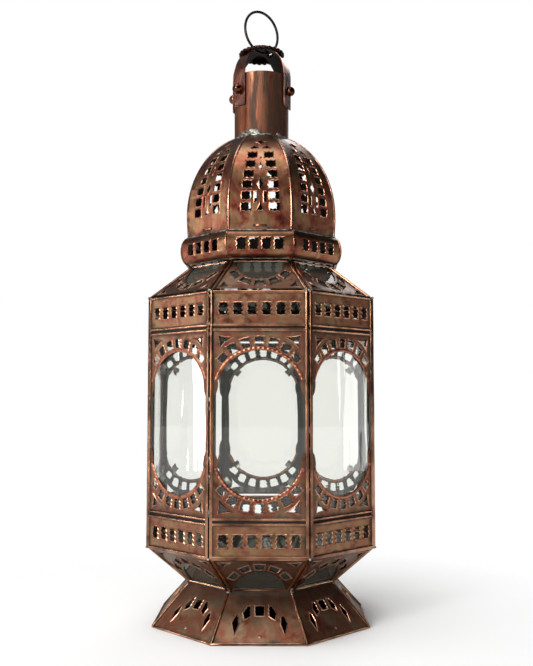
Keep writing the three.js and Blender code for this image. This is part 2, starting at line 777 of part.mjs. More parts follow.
const strapCross = () =>
  without(strap(RING_STRAP_ANGLE).add(strap(SIDE_STRAP_ANGLE)), [...rivetHoles(), ...ringSlots()]);

// Rivets through the strap legs and the flue, turned from [radius, distance from the axis]

const RIVET_ANGLES = {
  rivet_front_left: RING_STRAP_ANGLE + Math.PI,
  rivet_front_right: SIDE_STRAP_ANGLE,
  rivet_back_right: RING_STRAP_ANGLE,
  rivet_back_left: SIDE_STRAP_ANGLE + Math.PI,
};

// Turns about X = radius and stands the axis out from the flue in the given direction.
const radialPin = (outline, angle, segments) =>
  solidOf(
    turned(outline, segments)
      .rotateX(Math.PI / 2)
      .rotateZ(angle)
      .translate(0, 0, RIVET_Z),
  );

function rivetHoles() {
  const hole = RIVET_RADIUS + GAP;
  const low = FLUE_RADIUS - 4 * PLATE;
  const high = FLUE_RADIUS + 4 * PLATE;
  return Object.values(RIVET_ANGLES).map((angle) =>
    radialPin([[0, low], [hole, low], [hole, high], [0, high]], angle, SMALL_FACETS),
  );
}

function rivet(angle) {
  const seat = STRAP_INSIDE + STRAP + GAP;
  const inside = FLUE_RADIUS - PLATE - 2 * GAP;
  const dome = arc(RIVET_HEAD_RADIUS, RIVET_HEAD_HEIGHT, Math.PI / 2, 0, RIVET_HEAD_STEPS)
    .map(([r, up]) => [Math.max(r, 0), seat + up]);
  const outline = [
    [0, inside - RIVET_TAIL],
    [2 * RIVET_RADIUS, inside - RIVET_TAIL],
    [2 * RIVET_RADIUS, inside],
    [RIVET_RADIUS, inside],
    [RIVET_RADIUS, seat],
    ...dome,
  ];
  return radialPin(outline, angle, SMALL_FACETS);
}

// Rosette: a thin scalloped cap over the crossing

const ROSETTE_Z = CROWN_Z + STRAP + ROSETTE_LIFT;

function rosette() {
  const reach = STRAP_INSIDE + STRAP + ROSETTE_SPREAD;
  const radii = ROSETTE_RINGS.map((share) => share * ROSETTE_RADIUS);
  const under = radii.map((r) => [r, ROSETTE_Z - crownDrop(r, reach)]);
  const over = under.map(([r, z]) => [r, z + SHEET]).reverse();
  const cap = turned([...under, ...over], 2 * ROSETTE_LOBE_COUNT);
  const place = cap.attributes.position;
  for (let i = 0; i < place.count; i += 1) {
    const [x, y] = [place.getX(i), place.getY(i)];
    const radius = Math.hypot(x, y);
    if (radius < ROSETTE_RADIUS - ROSETTE_LOBE_DEPTH) continue;
    const lobe = 1 + (ROSETTE_LOBE_DEPTH / radius) * Math.cos(ROSETTE_LOBE_COUNT * Math.atan2(x, y));
    place.setXY(i, x * lobe, y * lobe);
  }
  return without(solidOf(cap), ringSlots());
}

// Hanging ring, threaded through the crown in the plane of one strap

const RING_CENTRE_Z = CROWN_Z - RING_CLEARANCE - RING_WIRE + RING_RADIUS;

// The slots through rosette and straps, one on each side of the crown.
function ringSlots() {
  const half = RING_SLOT_WIDTH / 2;
  const inner = half - RING_SLOT_CORNER;
  const outline = [
    [RING_SLOT_NEAR, -inner],
    [RING_SLOT_NEAR + RING_SLOT_CORNER, -half],
    [RING_SLOT_FAR - RING_SLOT_CORNER, -half],
    [RING_SLOT_FAR, -inner],
    [RING_SLOT_FAR, inner],
    [RING_SLOT_FAR - RING_SLOT_CORNER, half],
    [RING_SLOT_NEAR + RING_SLOT_CORNER, half],
    [RING_SLOT_NEAR, inner],
  ];
  return [0, Math.PI].map((halfTurn) => {
    const cutter = plate(outline, [], 2 * ROSETTE_RADIUS, ROSETTE_RADIUS);
    cutter.rotateZ(RING_STRAP_ANGLE - Math.PI / 2 + halfTurn);
    return solidOf(cutter.translate(0, 0, CROWN_Z));
  });
}

function hangingRing() {
  const wire = new THREE.TorusGeometry(RING_RADIUS, RING_WIRE, SMALL_FACETS, FACETS);
  wire.rotateX(Math.PI / 2);
  wire.rotateZ(RING_STRAP_ANGLE - Math.PI / 2);
  return solidOf(wire.translate(0, 0, RING_CENTRE_Z));
}

// The lantern

const lantern = new THREE.Group();

lantern.add(meshOf("foot_skirt", footSkirt(), DARK_COPPER));
lantern.add(meshOf("floor_plate", floorPlate(), TINPLATE));
lantern.add(meshOf("candle_cup", candleCup(), TINPLATE));
lantern.add(
  meshOf("taper_glass", glassTier(WAIST_ACROSS, BODY_ACROSS, WAIST_Z, BODY_Z, false), CLEAR_GLASS),
);
lantern.add(
  meshOf("roof_glass", glassTier(SHOULDER_ACROSS, BODY_ACROSS, EAVES_Z, SHOULDER_Z, true), CLEAR_GLASS),
);
lantern.add(meshOf("collar", collar(), DOME_COPPER));
lantern.add(meshOf("flue_tube", flueTube(), DOME_COPPER));
lantern.add(meshOf("strap_cross", strapCross(), COPPER));
for (const [name, angle] of Object.entries(RIVET_ANGLES))
  lantern.add(meshOf(name, rivet(angle), IRON));
lantern.add(meshOf("rosette", rosette(), DARK_COPPER));
lantern.add(meshOf("hanging_ring", hangingRing(), IRON));

const taperPanel = glazedTier(WAIST_ACROSS, BODY_ACROSS, WAIST_Z, BODY_Z - GAP / 2, false)
  .intersect(sector(TAPER_Z, BODY_Z - GAP / 2));
const roofPanel = glazedTier(SHOULDER_ACROSS, BODY_ACROSS, EAVES_Z, SHOULDER_Z, true)
  .intersect(sector(EAVES_Z + GAP / 2, SHOULDER_Z - GAP / 2));
const wall = wallPanel();
const windowPane = pane(windowLight);
const petal = domePetal();

SIDE_NAMES.forEach((name, k) => {
  const side = new THREE.Group();
  side.rotation.z = k * TURN;
  side.add(meshOf("taper_panel_" + name, taperPanel, DARK_COPPER));
  side.add(meshOf("roof_panel_" + name, roofPanel, DARK_COPPER));
  side.add(meshOf("dome_petal_" + name, petal, DOME_COPPER));
  if (name === DOOR_SIDE) {
    side.add(meshOf("door_sill", doorSill(), COPPER));
    side.add(meshOf("door_head", doorHead(), COPPER));
    side.add(meshOf("door_leaf", doorLeaf(), COPPER));
    side.add(meshOf("door_glass", windowPane, CLEAR_GLASS));
    side.add(meshOf("hinge_wire", hingeWire(), IRON));
    side.add(meshOf("turn_catch", turnCatch(), COPPER));
  } else {
    side.add(meshOf("wall_panel_" + name, wall, COPPER));
    side.add(meshOf("window_glass_" + name, windowPane, CLEAR_GLASS));
  }
  lantern.add(side);
});

export default lantern;
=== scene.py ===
"""An eight-sided candle lantern of pierced copper and clear glass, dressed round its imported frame."""
import math

import bmesh
import bpy
from mathutils import Matrix, Vector, noise


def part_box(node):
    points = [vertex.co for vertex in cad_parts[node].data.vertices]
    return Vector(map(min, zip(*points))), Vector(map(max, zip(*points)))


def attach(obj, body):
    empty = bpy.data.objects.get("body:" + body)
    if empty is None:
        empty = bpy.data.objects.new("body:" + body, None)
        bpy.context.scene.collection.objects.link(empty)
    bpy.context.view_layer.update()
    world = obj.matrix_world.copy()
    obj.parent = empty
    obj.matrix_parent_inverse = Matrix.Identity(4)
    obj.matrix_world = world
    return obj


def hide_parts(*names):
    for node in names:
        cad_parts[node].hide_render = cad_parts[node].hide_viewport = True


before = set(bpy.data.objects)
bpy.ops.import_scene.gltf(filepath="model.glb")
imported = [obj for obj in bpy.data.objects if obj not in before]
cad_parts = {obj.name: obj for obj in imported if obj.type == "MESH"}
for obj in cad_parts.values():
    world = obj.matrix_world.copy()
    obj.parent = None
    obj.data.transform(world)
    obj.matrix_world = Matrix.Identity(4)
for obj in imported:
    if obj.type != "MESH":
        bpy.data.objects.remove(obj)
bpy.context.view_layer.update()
scene = bpy.context.scene

# Sizes are in millimetres until a piece is placed.
MM = 0.001
SIDES = ["front", "front_right", "right", "back_right", "back", "back_left", "left", "front_left"]
DOOR = SIDES.index("back")
TURN = math.tau / len(SIDES)
UP = (0, 0, 1)
ALONG = (0, 1, 0)
ACROSS = (1, 0, 0)


def foot_of(node):
    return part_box(node)[0].z / MM


def top_of(node):
    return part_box(node)[1].z / MM


def front_of(node):
    return -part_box(node)[0].y / MM


# Levels, and distances of the faces from the axis, as the frame has them
FOOT_APOTHEM = front_of("foot_skirt")
FOOT_TOP = top_of("foot_skirt")
BODY_APOTHEM = front_of("wall_panel_front")
BODY_FOOT = foot_of("wall_panel_front")
BODY_TOP = top_of("wall_panel_front")
WINDOW_FOOT = foot_of("door_leaf")
WINDOW_TOP = top_of("door_leaf")
ROOF_FOOT = foot_of("roof_panel_front")
COLLAR_FOOT = foot_of("collar")
COLLAR_TOP = top_of("collar")
COLLAR_APOTHEM = front_of("collar")
DOME_FOOT = foot_of("dome_petal_front")
DOME_APOTHEM = front_of("dome_petal_front")
FLUE_TOP = top_of("flue_tube")
STRAP_FOOT = foot_of("strap_cross")
STRAP_TOP = top_of("strap_cross")
ROSETTE_TOP = top_of("rosette")
RING_TOP = top_of("hanging_ring")

WAIST_APOTHEM = 76
WAIST = 42.5
SHOULDER_APOTHEM = 74.1
DOME_FOOT_APOTHEM = 78.5
FLUE_RADIUS = 30.3

# Sheet and rods
SHEET = 0.7
LIP_WIDTH = 0.9
FINE_LIP = 0.65
LIP_HEIGHT = 0.6
FLAT_LIP = 0.25
NO_LIP = 0.05
THIN_SHEET = 0.4
CAME = 3.4
RAIL = 2.7
CAME_DEPTH = 2.4
CORNER_GROOVE = 1.2
SHEET_LEVEL = -1.5
FRAME_HALF = BODY_APOTHEM * math.tan(TURN / 2) - CORNER_GROOVE
LIGHT_HALF = FRAME_HALF - CAME
LAP = 0.5

# The unevenness of handwork, and how closely long shapes are divided to take it. Without a seed,
# noise_vector follows the clock, and the meshes would differ from run to run.
STEP = 9
WOBBLE = 0.16
WOBBLE_SIZE = 34
WOBBLE_SEED = 1
noise.seed_set(WOBBLE_SEED)

# The body's three tiers, with the window's rails and the flanges behind its pane
RAIL_GAP = 2
LOWER_TOP = WINDOW_FOOT - RAIL_GAP
UPPER_FOOT = WINDOW_TOP + RAIL_GAP
WINDOW_RAIL = 3.6
FLANGE = 4.6
FLANGE_AT = LIGHT_HALF - 0.2
FLANGE_DEPTH = 5

# Pierced arches of the windows
ARCH_RADIUS = 42
ARCH_CROWN = 17.3
ARCH_BAND = 3.7
ARCH_OPENING = 10.4
LAST_OPENING = 0.78
ARCH_OPENING_WIDTH = (9.9, 11.4)
ARCH_PITCH = math.radians(15.3)
ARCH_END = math.radians(73)
ARCH_TAIL = 13.5
ARCH_CORNER = ((24.6, 54.7), (38.6, 43.4), (40, 56.3))
BEAD_RADIUS = ARCH_RADIUS + 1.8
BEAD_PITCH = 4.4
BEAD_SWELL = 0.25
NICK = 0.55

# Tabs that hold the panes
TAB = 4
TAB_RADIUS = 41
TAB_DEPTH = 6.2
TAB_HEADING = math.radians(50)

# Pierced bands
BAND_OPENINGS = 6
BAND_PITCH = 14
BAND_WIDTH = 11
BAND_HEIGHT = 13.2

# Pierced half-ovals of the sloping panels
OVAL_HALF = 24.5
OVAL_HEIGHT = 32
OVAL_BAND = 3
OVAL_OPENING = (8, 10.4)
OVAL_PITCH = math.radians(27)
OVAL_SPREAD = math.radians(10.2)

# Foot: the fan's middle lies this far down the slope, and its openings are measured from there
FAN_DROP = 47
FAN_MIDDLE = ((-4.9, 22.2), (4.9, 22.2), (5.2, 33), (-5.2, 33))
FAN_SECOND = ((8.6, 22.2), (15.6, 17.6), (16.7, 25.2), (12.3, 32.3), (8.3, 33.3))
FAN_OUTER = ((20.3, 13.4), (24.5, 2.8), (25.7, 8.8), (27.2, 15), (23.2, 23.6), (20.5, 20.6))
NAIL_HOLE = 0.9

# Collar, with its length measured round the moulding
COLLAR_LENGTH = 33
COLLAR_OPENING = (10.4, 10.2)
COLLAR_PITCH = 12.8

# Dome: openings as heights above the floor, with their distance from the petal's middle line
DOME_SPRING = 429.5
DOME_RISE = 98
ROWS = [(430.2, 14.7), (442, 14.1), (454.1, 13.4), (465.8, 12.2), (477.4, 10.6), (488.6, 8.5)]
ROW_WIDTH = 11.1
ROW_HEIGHT = 10.3
ROW_TAPER = 0.16
WING = ((-4.2, -2.4), (3.6, -3.1), (5, -1.9), (0.2, 3.2), (-2.6, 1.2))
WING_AT = (6.2, 498.9)
# Height, half width, half height and scallop of each diamond on the middle line
DIAMONDS = [(506.4, 6.6, 5, 0.8), (485, 0.9, 1.5, 0.05), (474.6, 1.9, 5.2, 0.15),
            (454.8, 3.4, 7.8, 0.5)]
PETAL_SLOT = (3.3, 12)
PETAL_SLOT_AT = (4.9, 440.6)
TREFOIL = ((-5, -4.9), (5, -4.9), (0, 5.4))
TREFOIL_HEIGHT = 431
STAPLE = ((-5, -1), (-4.9, 0.6), (-4.2, 1.2), (0, 1.3), (4.2, 1.2), (4.9, 0.6), (5, -1))
STAPLE_HOLE = 6.1

# Beads, seams and wires: half the height and half the width of their oval section
FOOT_SEAM = (1.4, 1.3)
HEM = (1.3, 1.1)
SHELF = (0.7, 0.9)
COLLAR_SEAM = (1.5, 0.9)
LEDGE = (0.6, 4)
RIB = (1.5, 1.1)
RIB_SHADOW = (2.5, 0.6)
STAPLE_WIRE = (0.9, 0.7)
STAPLE_DENT = (1.2, 0.4)
FLUE_RIM = (0.8, 0.7)
CORNER_SEAM = (1.5, 0.8)

# Solder: heading in degrees, rise and size of each patch round the flue
FLUE_PATCHES = [(-34, 2.6, 4.6), (-24, 3.4, 5.4), (-13, 3.0, 4.8), (-45, 1.6, 3.4), (-4, 1.8, 3.4),
                (38, 1.2, 2.8), (150, 2, 4)]

# Crown
STRAP_HALF = 9.5
STRAP = 0.8
STRAP_REACH = FLUE_RADIUS + 0.3 + STRAP
STRAP_SLICES = 46
RIVET_HEIGHT = FLUE_TOP - 17.5
RIVET_RADIUS = 5.3
RING_STRAP = math.radians(130)
SIDE_STRAP = math.radians(68)
RING_RADIUS = 23.5
RING_WIRE = 1.45
ROSETTE_RADIUS = 25
ROSETTE_LOBES = 24
ROSETTE_DROOP = 9.4
ROSETTE_BOSS = 2.9
# The two slots that the ring passes through: where they start and end, and their width
SLOT = (3.2, 16, 9.2)

# Hinge and catch
KNUCKLE = 10
KNUCKLE_GAP = 0.35
CATCH_X = -20

# The photograph's view: the camera stands a little to the right of the front and looks slightly up.
CAMERA_AT = Vector((17.3, -951.8, 236.7)) * MM
CAMERA_LENS = 46.76
CAMERA_PITCH = math.radians(4.18)
CAMERA_YAW = math.radians(0.33)


# Materials

# Grain sizes. Grit, the marks of the hammer and the ripples of glass are finer on the real thing than
# the picture can show, so they are drawn this coarse.
SPECK = 2.381
DENT = 18.182
DRAWN = 7.143
RIPPLE = 16.667


def linear(colour):
    """A colour written as sRGB hex, as the linear values that Blender works with."""
    channels = [int(colour[i:i + 2], 16) / 255 for i in (1, 3, 5)]
    return (*[c / 12.92 if c <= 0.04045 else ((c + 0.055) / 1.055) ** 2.4 for c in channels], 1)


def feed(tree, node, inputs):
    """Sets a node's inputs. Each is a value, or the output that feeds it."""
    for socket, value in inputs.items():
        if isinstance(value, bpy.types.NodeSocket):
            tree.links.new(value, node.inputs[socket])
        else:
            node.inputs[socket].default_value = value


def add(tree, kind, inputs=None, output=0, stops=(), **settings):
    """Adds a node with its settings and links. Gives one of its outputs, or all of them for None."""
    made = tree.nodes.new("ShaderNode" + kind)
    for name, value in settings.items():
        setattr(made, name, value)
    feed(tree, made, inputs or {})
    if stops:
        ramp = made.color_ramp.elements
        while len(ramp) < len(stops):
            ramp.new(0.5)
        for element, (position, colour) in zip(ramp, stops):
            element.position = position
            element.color = linear(colour)
    return made.outputs if output is None else made.outputs[output]


def blank(name):
    material = bpy.data.materials.new(name)
    material.use_nodes = True
    shader = material.node_tree.nodes["Principled BSDF"]
    return material, material.node_tree, shader


def aged_copper(name, fresh, heated, tarnish, grime_and_shade, burr_and_highlight, roughness, patch, edge, stretch=1.0,
                top_darkening=0.0):
    """Hand-cut copper sheet, coloured by the soldering flame and by age. The lips of the openings
    are paler, partly as rubbed metal and partly as painted highlight. A dark rim round the sheet
    is partly dirt and partly painted shade in the crease beside the rods, and a sheet can be made
    darker towards its upper end. The patch size is in millimetres, the edge is the width of the
    dark rim as a share of the sheet, and a stretch below 1 draws the patches out upright."""
    material, tree, shader = blank(name)
    place = add(tree, "TexCoord", output="Object")
    place = add(tree, "Mapping", {"Vector": place, "Scale": (1, 1, stretch)})
    wide = add(tree, "TexNoise", {"Vector": place, "Scale": 1 / (patch * MM), "Detail": 4,
                                  "Roughness": 0.55, "Distortion": 0.7})
    heat = add(tree, "ValToRGB", {"Fac": wide}, stops=[(0.36, fresh), (0.5, heated), (0.66, fresh)])
    stain = add(tree, "TexNoise", {"Vector": place, "Scale": 1 / (0.33 * patch * MM), "Detail": 7,
                                   "Roughness": 0.65})
    stained = add(tree, "MapRange", {"Value": stain, "From Min": 0.46, "From Max": 0.68,
                                     "To Max": 0.75})
    tone = add(tree, "MixRGB", {"Fac": stained, "Color1": heat, "Color2": linear(tarnish)})
    flat = add(tree, "SeparateXYZ", {"Vector": add(tree, "UVMap")}, output=None)
    sides = []
    for axis in (0, 1):
        centred = add(tree, "Math", {0: flat[axis], 1: 0.5}, operation="SUBTRACT")
        sides.append(add(tree, "Math", {0: centred}, operation="ABSOLUTE"))
    rim = add(tree, "Math", {0: sides[0], 1: sides[1]}, operation="MAXIMUM")
    # The dark rim: partly dirt, partly painted shade in the crease where the sheet meets its rods.
    ragged = add(tree, "Math", {0: stain, 1: 0.22, 2: rim}, operation="MULTIPLY_ADD")
    dirt_and_shade = add(tree, "MapRange", {"Value": ragged, "From Min": 0.6 - edge, "From Max": 0.625,
                                  "To Max": 0.92})
    soil = add(tree, "MapRange", {"Value": stain, "From Min": 0.47, "From Max": 0.33, "To Max": 0.6})
    # Darker towards the upper end of the sheet, by the given amount.
    darker_upwards = add(tree, "MapRange", {"Value": flat[1], "From Min": 0.5, "From Max": 0.85,
                                   "To Max": top_darkening})
    soil = add(tree, "Math", {0: soil, 1: darker_upwards}, operation="MAXIMUM")
    for mask in (soil, dirt_and_shade):
        tone = add(tree, "MixRGB", {"Fac": mask, "Color1": tone, "Color2": linear(grime_and_shade)})
    # The lips are painted pale: partly rubbed metal, partly a painted highlight.
    lip_mark = add(tree, "Attribute", output="Fac", attribute_name="lip_mark")
    speck = add(tree, "TexNoise", {"Vector": place, "Scale": 1 / (SPECK * MM), "Detail": 3})
    rubbed = add(tree, "MapRange", {"Value": speck, "From Min": 0.3, "From Max": 0.62, "To Min": 0.25})
    bright = add(tree, "Math", {0: lip_mark, 1: rubbed}, operation="MULTIPLY")
    colour = add(tree, "MixRGB", {"Fac": bright, "Color1": tone, "Color2": linear(burr_and_highlight)})
    dull = add(tree, "Math", {0: dirt_and_shade, 1: 0.3, 2: roughness}, operation="MULTIPLY_ADD")
    rough = add(tree, "Math", {0: stain, 1: 0.24, 2: dull}, operation="MULTIPLY_ADD")
    metal = add(tree, "Math", {0: dirt_and_shade, 1: -0.45, 2: 1}, operation="MULTIPLY_ADD")
    dents = add(tree, "TexNoise", {"Vector": place, "Scale": 1 / (DENT * MM), "Detail": 2})
    beaten = add(tree, "Bump", {"Height": dents, "Strength": 0.5, "Distance": 1.2 * MM})
    grain = add(tree, "Bump", {"Height": speck, "Strength": 0.35, "Distance": 0.2 * MM,
                               "Normal": beaten})
    feed(tree, shader, {"Base Color": colour, "Roughness": rough, "Metallic": metal, "Normal": grain})
    return material


def drawn_copper(name, fresh, brown, dark, roughness, streak):
    """Copper folded or drawn into a rod and rubbed by handling: bright, with brown stretches."""
    material, tree, shader = blank(name)
    place = add(tree, "TexCoord", output="Object")
    wide = add(tree, "TexNoise", {"Vector": place, "Scale": 1 / (streak * MM), "Detail": 5,
                                  "Roughness": 0.6})
    colour = add(tree, "ValToRGB", {"Fac": wide},
                 stops=[(0.34, dark), (0.45, brown), (0.56, fresh), (0.72, brown)])
    fine = add(tree, "TexNoise", {"Vector": place, "Scale": 1 / (DRAWN * MM), "Detail": 3})
    rough = add(tree, "Math", {0: fine, 1: 0.25, 2: roughness}, operation="MULTIPLY_ADD")
    bump = add(tree, "Bump", {"Height": fine, "Strength": 0.15, "Distance": 0.2 * MM})
    feed(tree, shader, {"Base Color": colour, "Roughness": rough, "Normal": bump, "Metallic": 1})
    return material


def cast_metal(name, light, dark, roughness, grain, metallic=1.0, span=(0.38, 0.62)):
    """A plain metal with a mottled skin: solder, tin, iron and blackened copper."""
    material, tree, shader = blank(name)
    place = add(tree, "TexCoord", output="Object")
    mottle = add(tree, "TexNoise", {"Vector": place, "Scale": 1 / (grain * MM), "Detail": 5,
                                    "Roughness": 0.62})
    colour = add(tree, "ValToRGB", {"Fac": mottle}, stops=[(span[0], dark), (span[1], light)])
    rough = add(tree, "Math", {0: mottle, 1: 0.35, 2: roughness}, operation="MULTIPLY_ADD")
    bump = add(tree, "Bump", {"Height": mottle, "Strength": 0.6, "Distance": 0.3 * MM})
    feed(tree, shader, {"Base Color": colour, "Roughness": rough, "Normal": bump, "Metallic": metallic})
    return material


def window_glass(name, tint, dust_and_shade, dirt_and_shade="#a8aaa0"):
    """Thin drawn window glass, with soft ripples along the way it was drawn and a film that is dust, on
    the slanting panes also painted shade.
    """
    material, tree, shader = blank(name)
    place = add(tree, "TexCoord", output="Object")
    upright = add(tree, "Mapping", {"Vector": place, "Scale": (1, 1, 0.12)})
    ripple = add(tree, "TexNoise", {"Vector": upright, "Scale": 1 / (RIPPLE * MM), "Detail": 2})
    bump = add(tree, "Bump", {"Height": ripple, "Strength": 0.25, "Distance": MM})
    feed(tree, shader, {"Normal": bump, "Base Color": linear(tint), "Roughness": 0.02,
                        "Transmission Weight": 1, "IOR": 1.45})
    shadow = add(tree, "BsdfTransparent", {"Color": linear(tint)})
    film = add(tree, "BsdfDiffuse", {"Color": linear(dirt_and_shade)})
    # The film is dust, and on the slanting panes a painted shade as well.
    dusty_and_shaded = add(tree, "MixShader", {0: dust_and_shade, 1: shader.outputs[0], 2: film})
    ray = add(tree, "LightPath", output="Is Shadow Ray")
    shown = add(tree, "MixShader", {0: ray, 1: dusty_and_shaded, 2: shadow})
    tree.links.new(shown, tree.nodes["Material Output"].inputs["Surface"])
    return material


# Beaten sheet has clouds of brown and red on a soft sheen, with paler lips where it was cut; the
# paleness is partly rubbed metal and partly painted highlight.
BODY_SHEET = aged_copper("copper sheet, flame coloured", "#886a52", "#7e4a3c", "#74684a", "#1e1814",
                         "#e0a486", 0.24, 34, 0.06)
# The straight bands took more heat than the arches, which left them paler and olive.
BAND_SHEET = aged_copper("copper sheet, gone olive", "#967256", "#865240", "#7c704e", "#1e1814",
                         "#e0a486", 0.24, 34, 0.06)
# The slopes of the taper and the roof are dull and brown, and their burrs are too.
DARK_SHEET = aged_copper("copper sheet, brown with age", "#7c6252", "#6c4638", "#5e5844", "#1c1815",
                         "#9a7664", 0.27, 30, 0.07)
# The foot is paler at the hem and darker towards the waist.
FOOT_SHEET = aged_copper("copper sheet, rubbed brown", "#98785f", "#88503c", "#60624f", "#1c1b19",
                         "#e0ac90", 0.3, 44, 0.07, 1.0, 0.55)
# The dome is the reddest and glossiest sheet, and darker towards the flue.
DOME_SHEET = aged_copper("copper sheet, heated red", "#9c7256", "#7c3a30", "#74623f", "#1c1512",
                         "#dc9c80", 0.2, 40, 0.04, 1.0, 0.7)
# The flame has drawn long upright streaks of orange and brown on the flue.
FLUE_COPPER = aged_copper("copper tube, streaked by the flame", "#b47a5c", "#84462f", "#68503c",
                          "#38271b", "#c88a6e", 0.22, 30, 0.02, 0.12, 0.5)
# The straps have a purple-brown skin, rubbed on its edges.
STRAP_COPPER = aged_copper("copper strap, rubbed", "#9c6450", "#74423c", "#64544c", "#33231f",
                           "#c98a72", 0.2, 26, 0.02)
# Rods and beads catch a bright line of light, the finer ones broken by darker spots.
ROD = drawn_copper("copper rod, rubbed bright", "#b08468", "#865e48", "#4a3226", 0.07, 40)
BEAD = drawn_copper("copper seam bead", "#a06c50", "#6a4434", "#3a251c", 0.15, 14)
ARCH_BEAD = drawn_copper("copper bead, chiselled", "#b4755a", "#935c48", "#603c30", 0.22, 7)
DOME_BEAD = drawn_copper("copper rib, browned", "#b08068", "#7c5242", "#4a3026", 0.14, 22)
RIVET_COPPER = drawn_copper("copper rivet, browned", "#724832", "#40271b", "#1a110c", 0.05, 40)
# Candle smoke leaves the insides nearly black. The near-black sheet is painted shade: in the gaps,
# behind the panes, beside the ribs and in the staple holes.
INSIDE = cast_metal("copper, smoked inside", "#302722", "#141110", 0.45, 18, 0.7)
SHADE_BLACK = cast_metal("near-black shade", "#15110f", "#0a0807", 0.6, 6, 0.2)
BLACKENED = cast_metal("copper, blackened", "#46291c", "#0d0a08", 0.25, 7)
# Solder is pale where it is fresh. In the corner grooves it is black, with a few bright spots.
SOLDER = cast_metal("tin solder", "#b0b0a6", "#403e39", 0.3, 5)
SEAM = cast_metal("dark solder seam", "#b4b2aa", "#0b0908", 0.35, 12, 1.0, (0.56, 0.64))
# Grey, softly shining sheet, and wire with its black skin from the forge
TIN = cast_metal("tinplate", "#8f8e86", "#5f5d57", 0.3, 14)
IRON = cast_metal("black iron wire", "#3a3633", "#0e0d0c", 0.25, 6, 0.9)
# Clear panes in the windows. The slanting ones are grey with dust and smoke, and darker still as
# painted shade.
CLEAR_GLASS = window_glass("window glass", "#f7f8f4", 0.01)
DUSTY_SHADED_GLASS = window_glass("window glass, dusty and shaded", "#5c5e56", 0.32, "#5a5850")


# Outlines, as points in the plane of a sheet with X across and Y up


def arc(across, up, start, end, steps, centre=(0, 0)):
    """Points of an ellipse arc, with angles from the +Y direction towards +X."""
    angles = [start + (end - start) * i / steps for i in range(steps + 1)]
    return [Vector((centre[0] + across * math.sin(a), centre[1] + up * math.cos(a))) for a in angles]


def mirrored(points):
    return [Vector((-x, y)) for x, y in reversed(points)]


def moved(points, x, y):
    return [Vector((p[0] + x, p[1] + y)) for p in points]


def box(width, height, x=0, y=0):
    corners = [(-width, -height), (width, -height), (width, height), (-width, height)]
    return [Vector((x + a / 2, y + b / 2)) for a, b in corners]


def scalloped(corners, lobes, depths, steps=4):
    """A chiselled opening: each side is cut as small arcs that bulge into it. Anticlockwise."""
    points = []
    for i, start in enumerate(corners):
        along = Vector(corners[(i + 1) % len(corners)]) - Vector(start)
        inward = Vector((-along.y, along.x)).normalized()
        count = lobes[i % len(lobes)]
        depth = depths[i % len(depths)]
        for lobe in range(count):
            for step in range(steps):
                t = step / steps
                bulge = inward * (4 * t * (1 - t) * depth)
                points.append(Vector(start) + along * ((lobe + t) / count) + bulge)
    return points


def both_ways(points):
    return [points, mirrored(points)]


def grown(points, by):
    """The outline moved outwards, for anticlockwise points."""
    result = []
    for i, point in enumerate(points):
        along = (points[(i + 1) % len(points)] - points[i - 1]).normalized()
        result.append(point + Vector((along.y, -along.x)) * by)
    return result


# Lines, as points one after another in space


def line(start, end):
    start = Vector(start)
    end = Vector(end)
    count = max(1, round((end - start).length / STEP))
    return [start.lerp(end, i / count) for i in range(count + 1)]


def around(radius, angle, height):
    """A point at a distance from the axis, at an angle from the front."""
    return Vector((radius * math.sin(angle), -radius * math.cos(angle), height))


def corner_of(apothem):
    """How far from the axis the corners are, where the sides are at this distance."""
    return apothem / math.cos(TURN / 2)


def ring_path(radius, height, steps=120):
    return [around(radius, math.tau * i / steps, height) for i in range(steps)]


def octagon(apothem, height):
    """Points round the eight sides at a height, close enough together to be bent a little."""
    corners = [around(corner_of(apothem), (k + 0.5) * TURN, height) for k in range(len(SIDES))]
    points = []
    for k, corner in enumerate(corners):
        points += line(corner, corners[(k + 1) % len(corners)])[:-1]
    return points


def walked(points):
    """The points of a line, each with its distance from the start in front."""
    rows = [(0.0, *points[0])]
    for before, after in zip(points, points[1:]):
        rows.append((rows[-1][0] + math.dist(before, after), *after))
    return rows


def follow(rows, along):
    """Distance from the axis, height and lean of a walked line, this far along it."""
    i = 1
    while i < len(rows) - 1 and rows[i][0] < along:
        i += 1
    (s0, a0, z0), (s1, a1, z1) = rows[i - 1], rows[i]
    t = (along - s0) / (s1 - s0)
    return a0 + (a1 - a0) * t, z0 + (z1 - z0) * t, math.atan2(a0 - a1, z1 - z0)


# Meshes


def loop(bm, points, level=0.0):
    verts = [bm.verts.new((x, y, level)) for x, y in points]
    edges = [bm.edges.new(pair) for pair in zip(verts, verts[1:] + verts[:1])]
    return verts, edges


def pierced(outline, openings, thickness=SHEET, lip=LIP_HEIGHT, lip_width=LIP_WIDTH):
    """A sheet with its front at Z = 0. Each opening is cut with a lip that stands up round it."""
    bm = bmesh.new()
    edges = loop(bm, outline)[1]
    rims = []
    for points in openings:
        verts, rim = loop(bm, grown(points, lip_width))
        rims.append((verts, rim, points))
        edges = edges + rim
    bmesh.ops.triangle_fill(bm, use_beauty=True, use_dissolve=False, edges=edges)
    for verts, rim, points in rims:
        order = {vert: i for i, vert in enumerate(verts)}
        fresh = bmesh.ops.extrude_edge_only(bm, edges=rim)["geom"]
        for vert in (g for g in fresh if isinstance(g, bmesh.types.BMVert)):
            old = next(e.other_vert(vert) for e in vert.link_edges if e.other_vert(vert) in order)
            vert.co = (*points[order[old]], lip)
    bmesh.ops.recalc_face_normals(bm, faces=bm.faces)
    if sum(face.normal.z * face.calc_area() for face in bm.faces) < 0:
        bmesh.ops.reverse_faces(bm, faces=bm.faces)
    bmesh.ops.solidify(bm, geom=bm.faces[:], thickness=thickness)
    finish_sheet(bm, lip)
    return bm


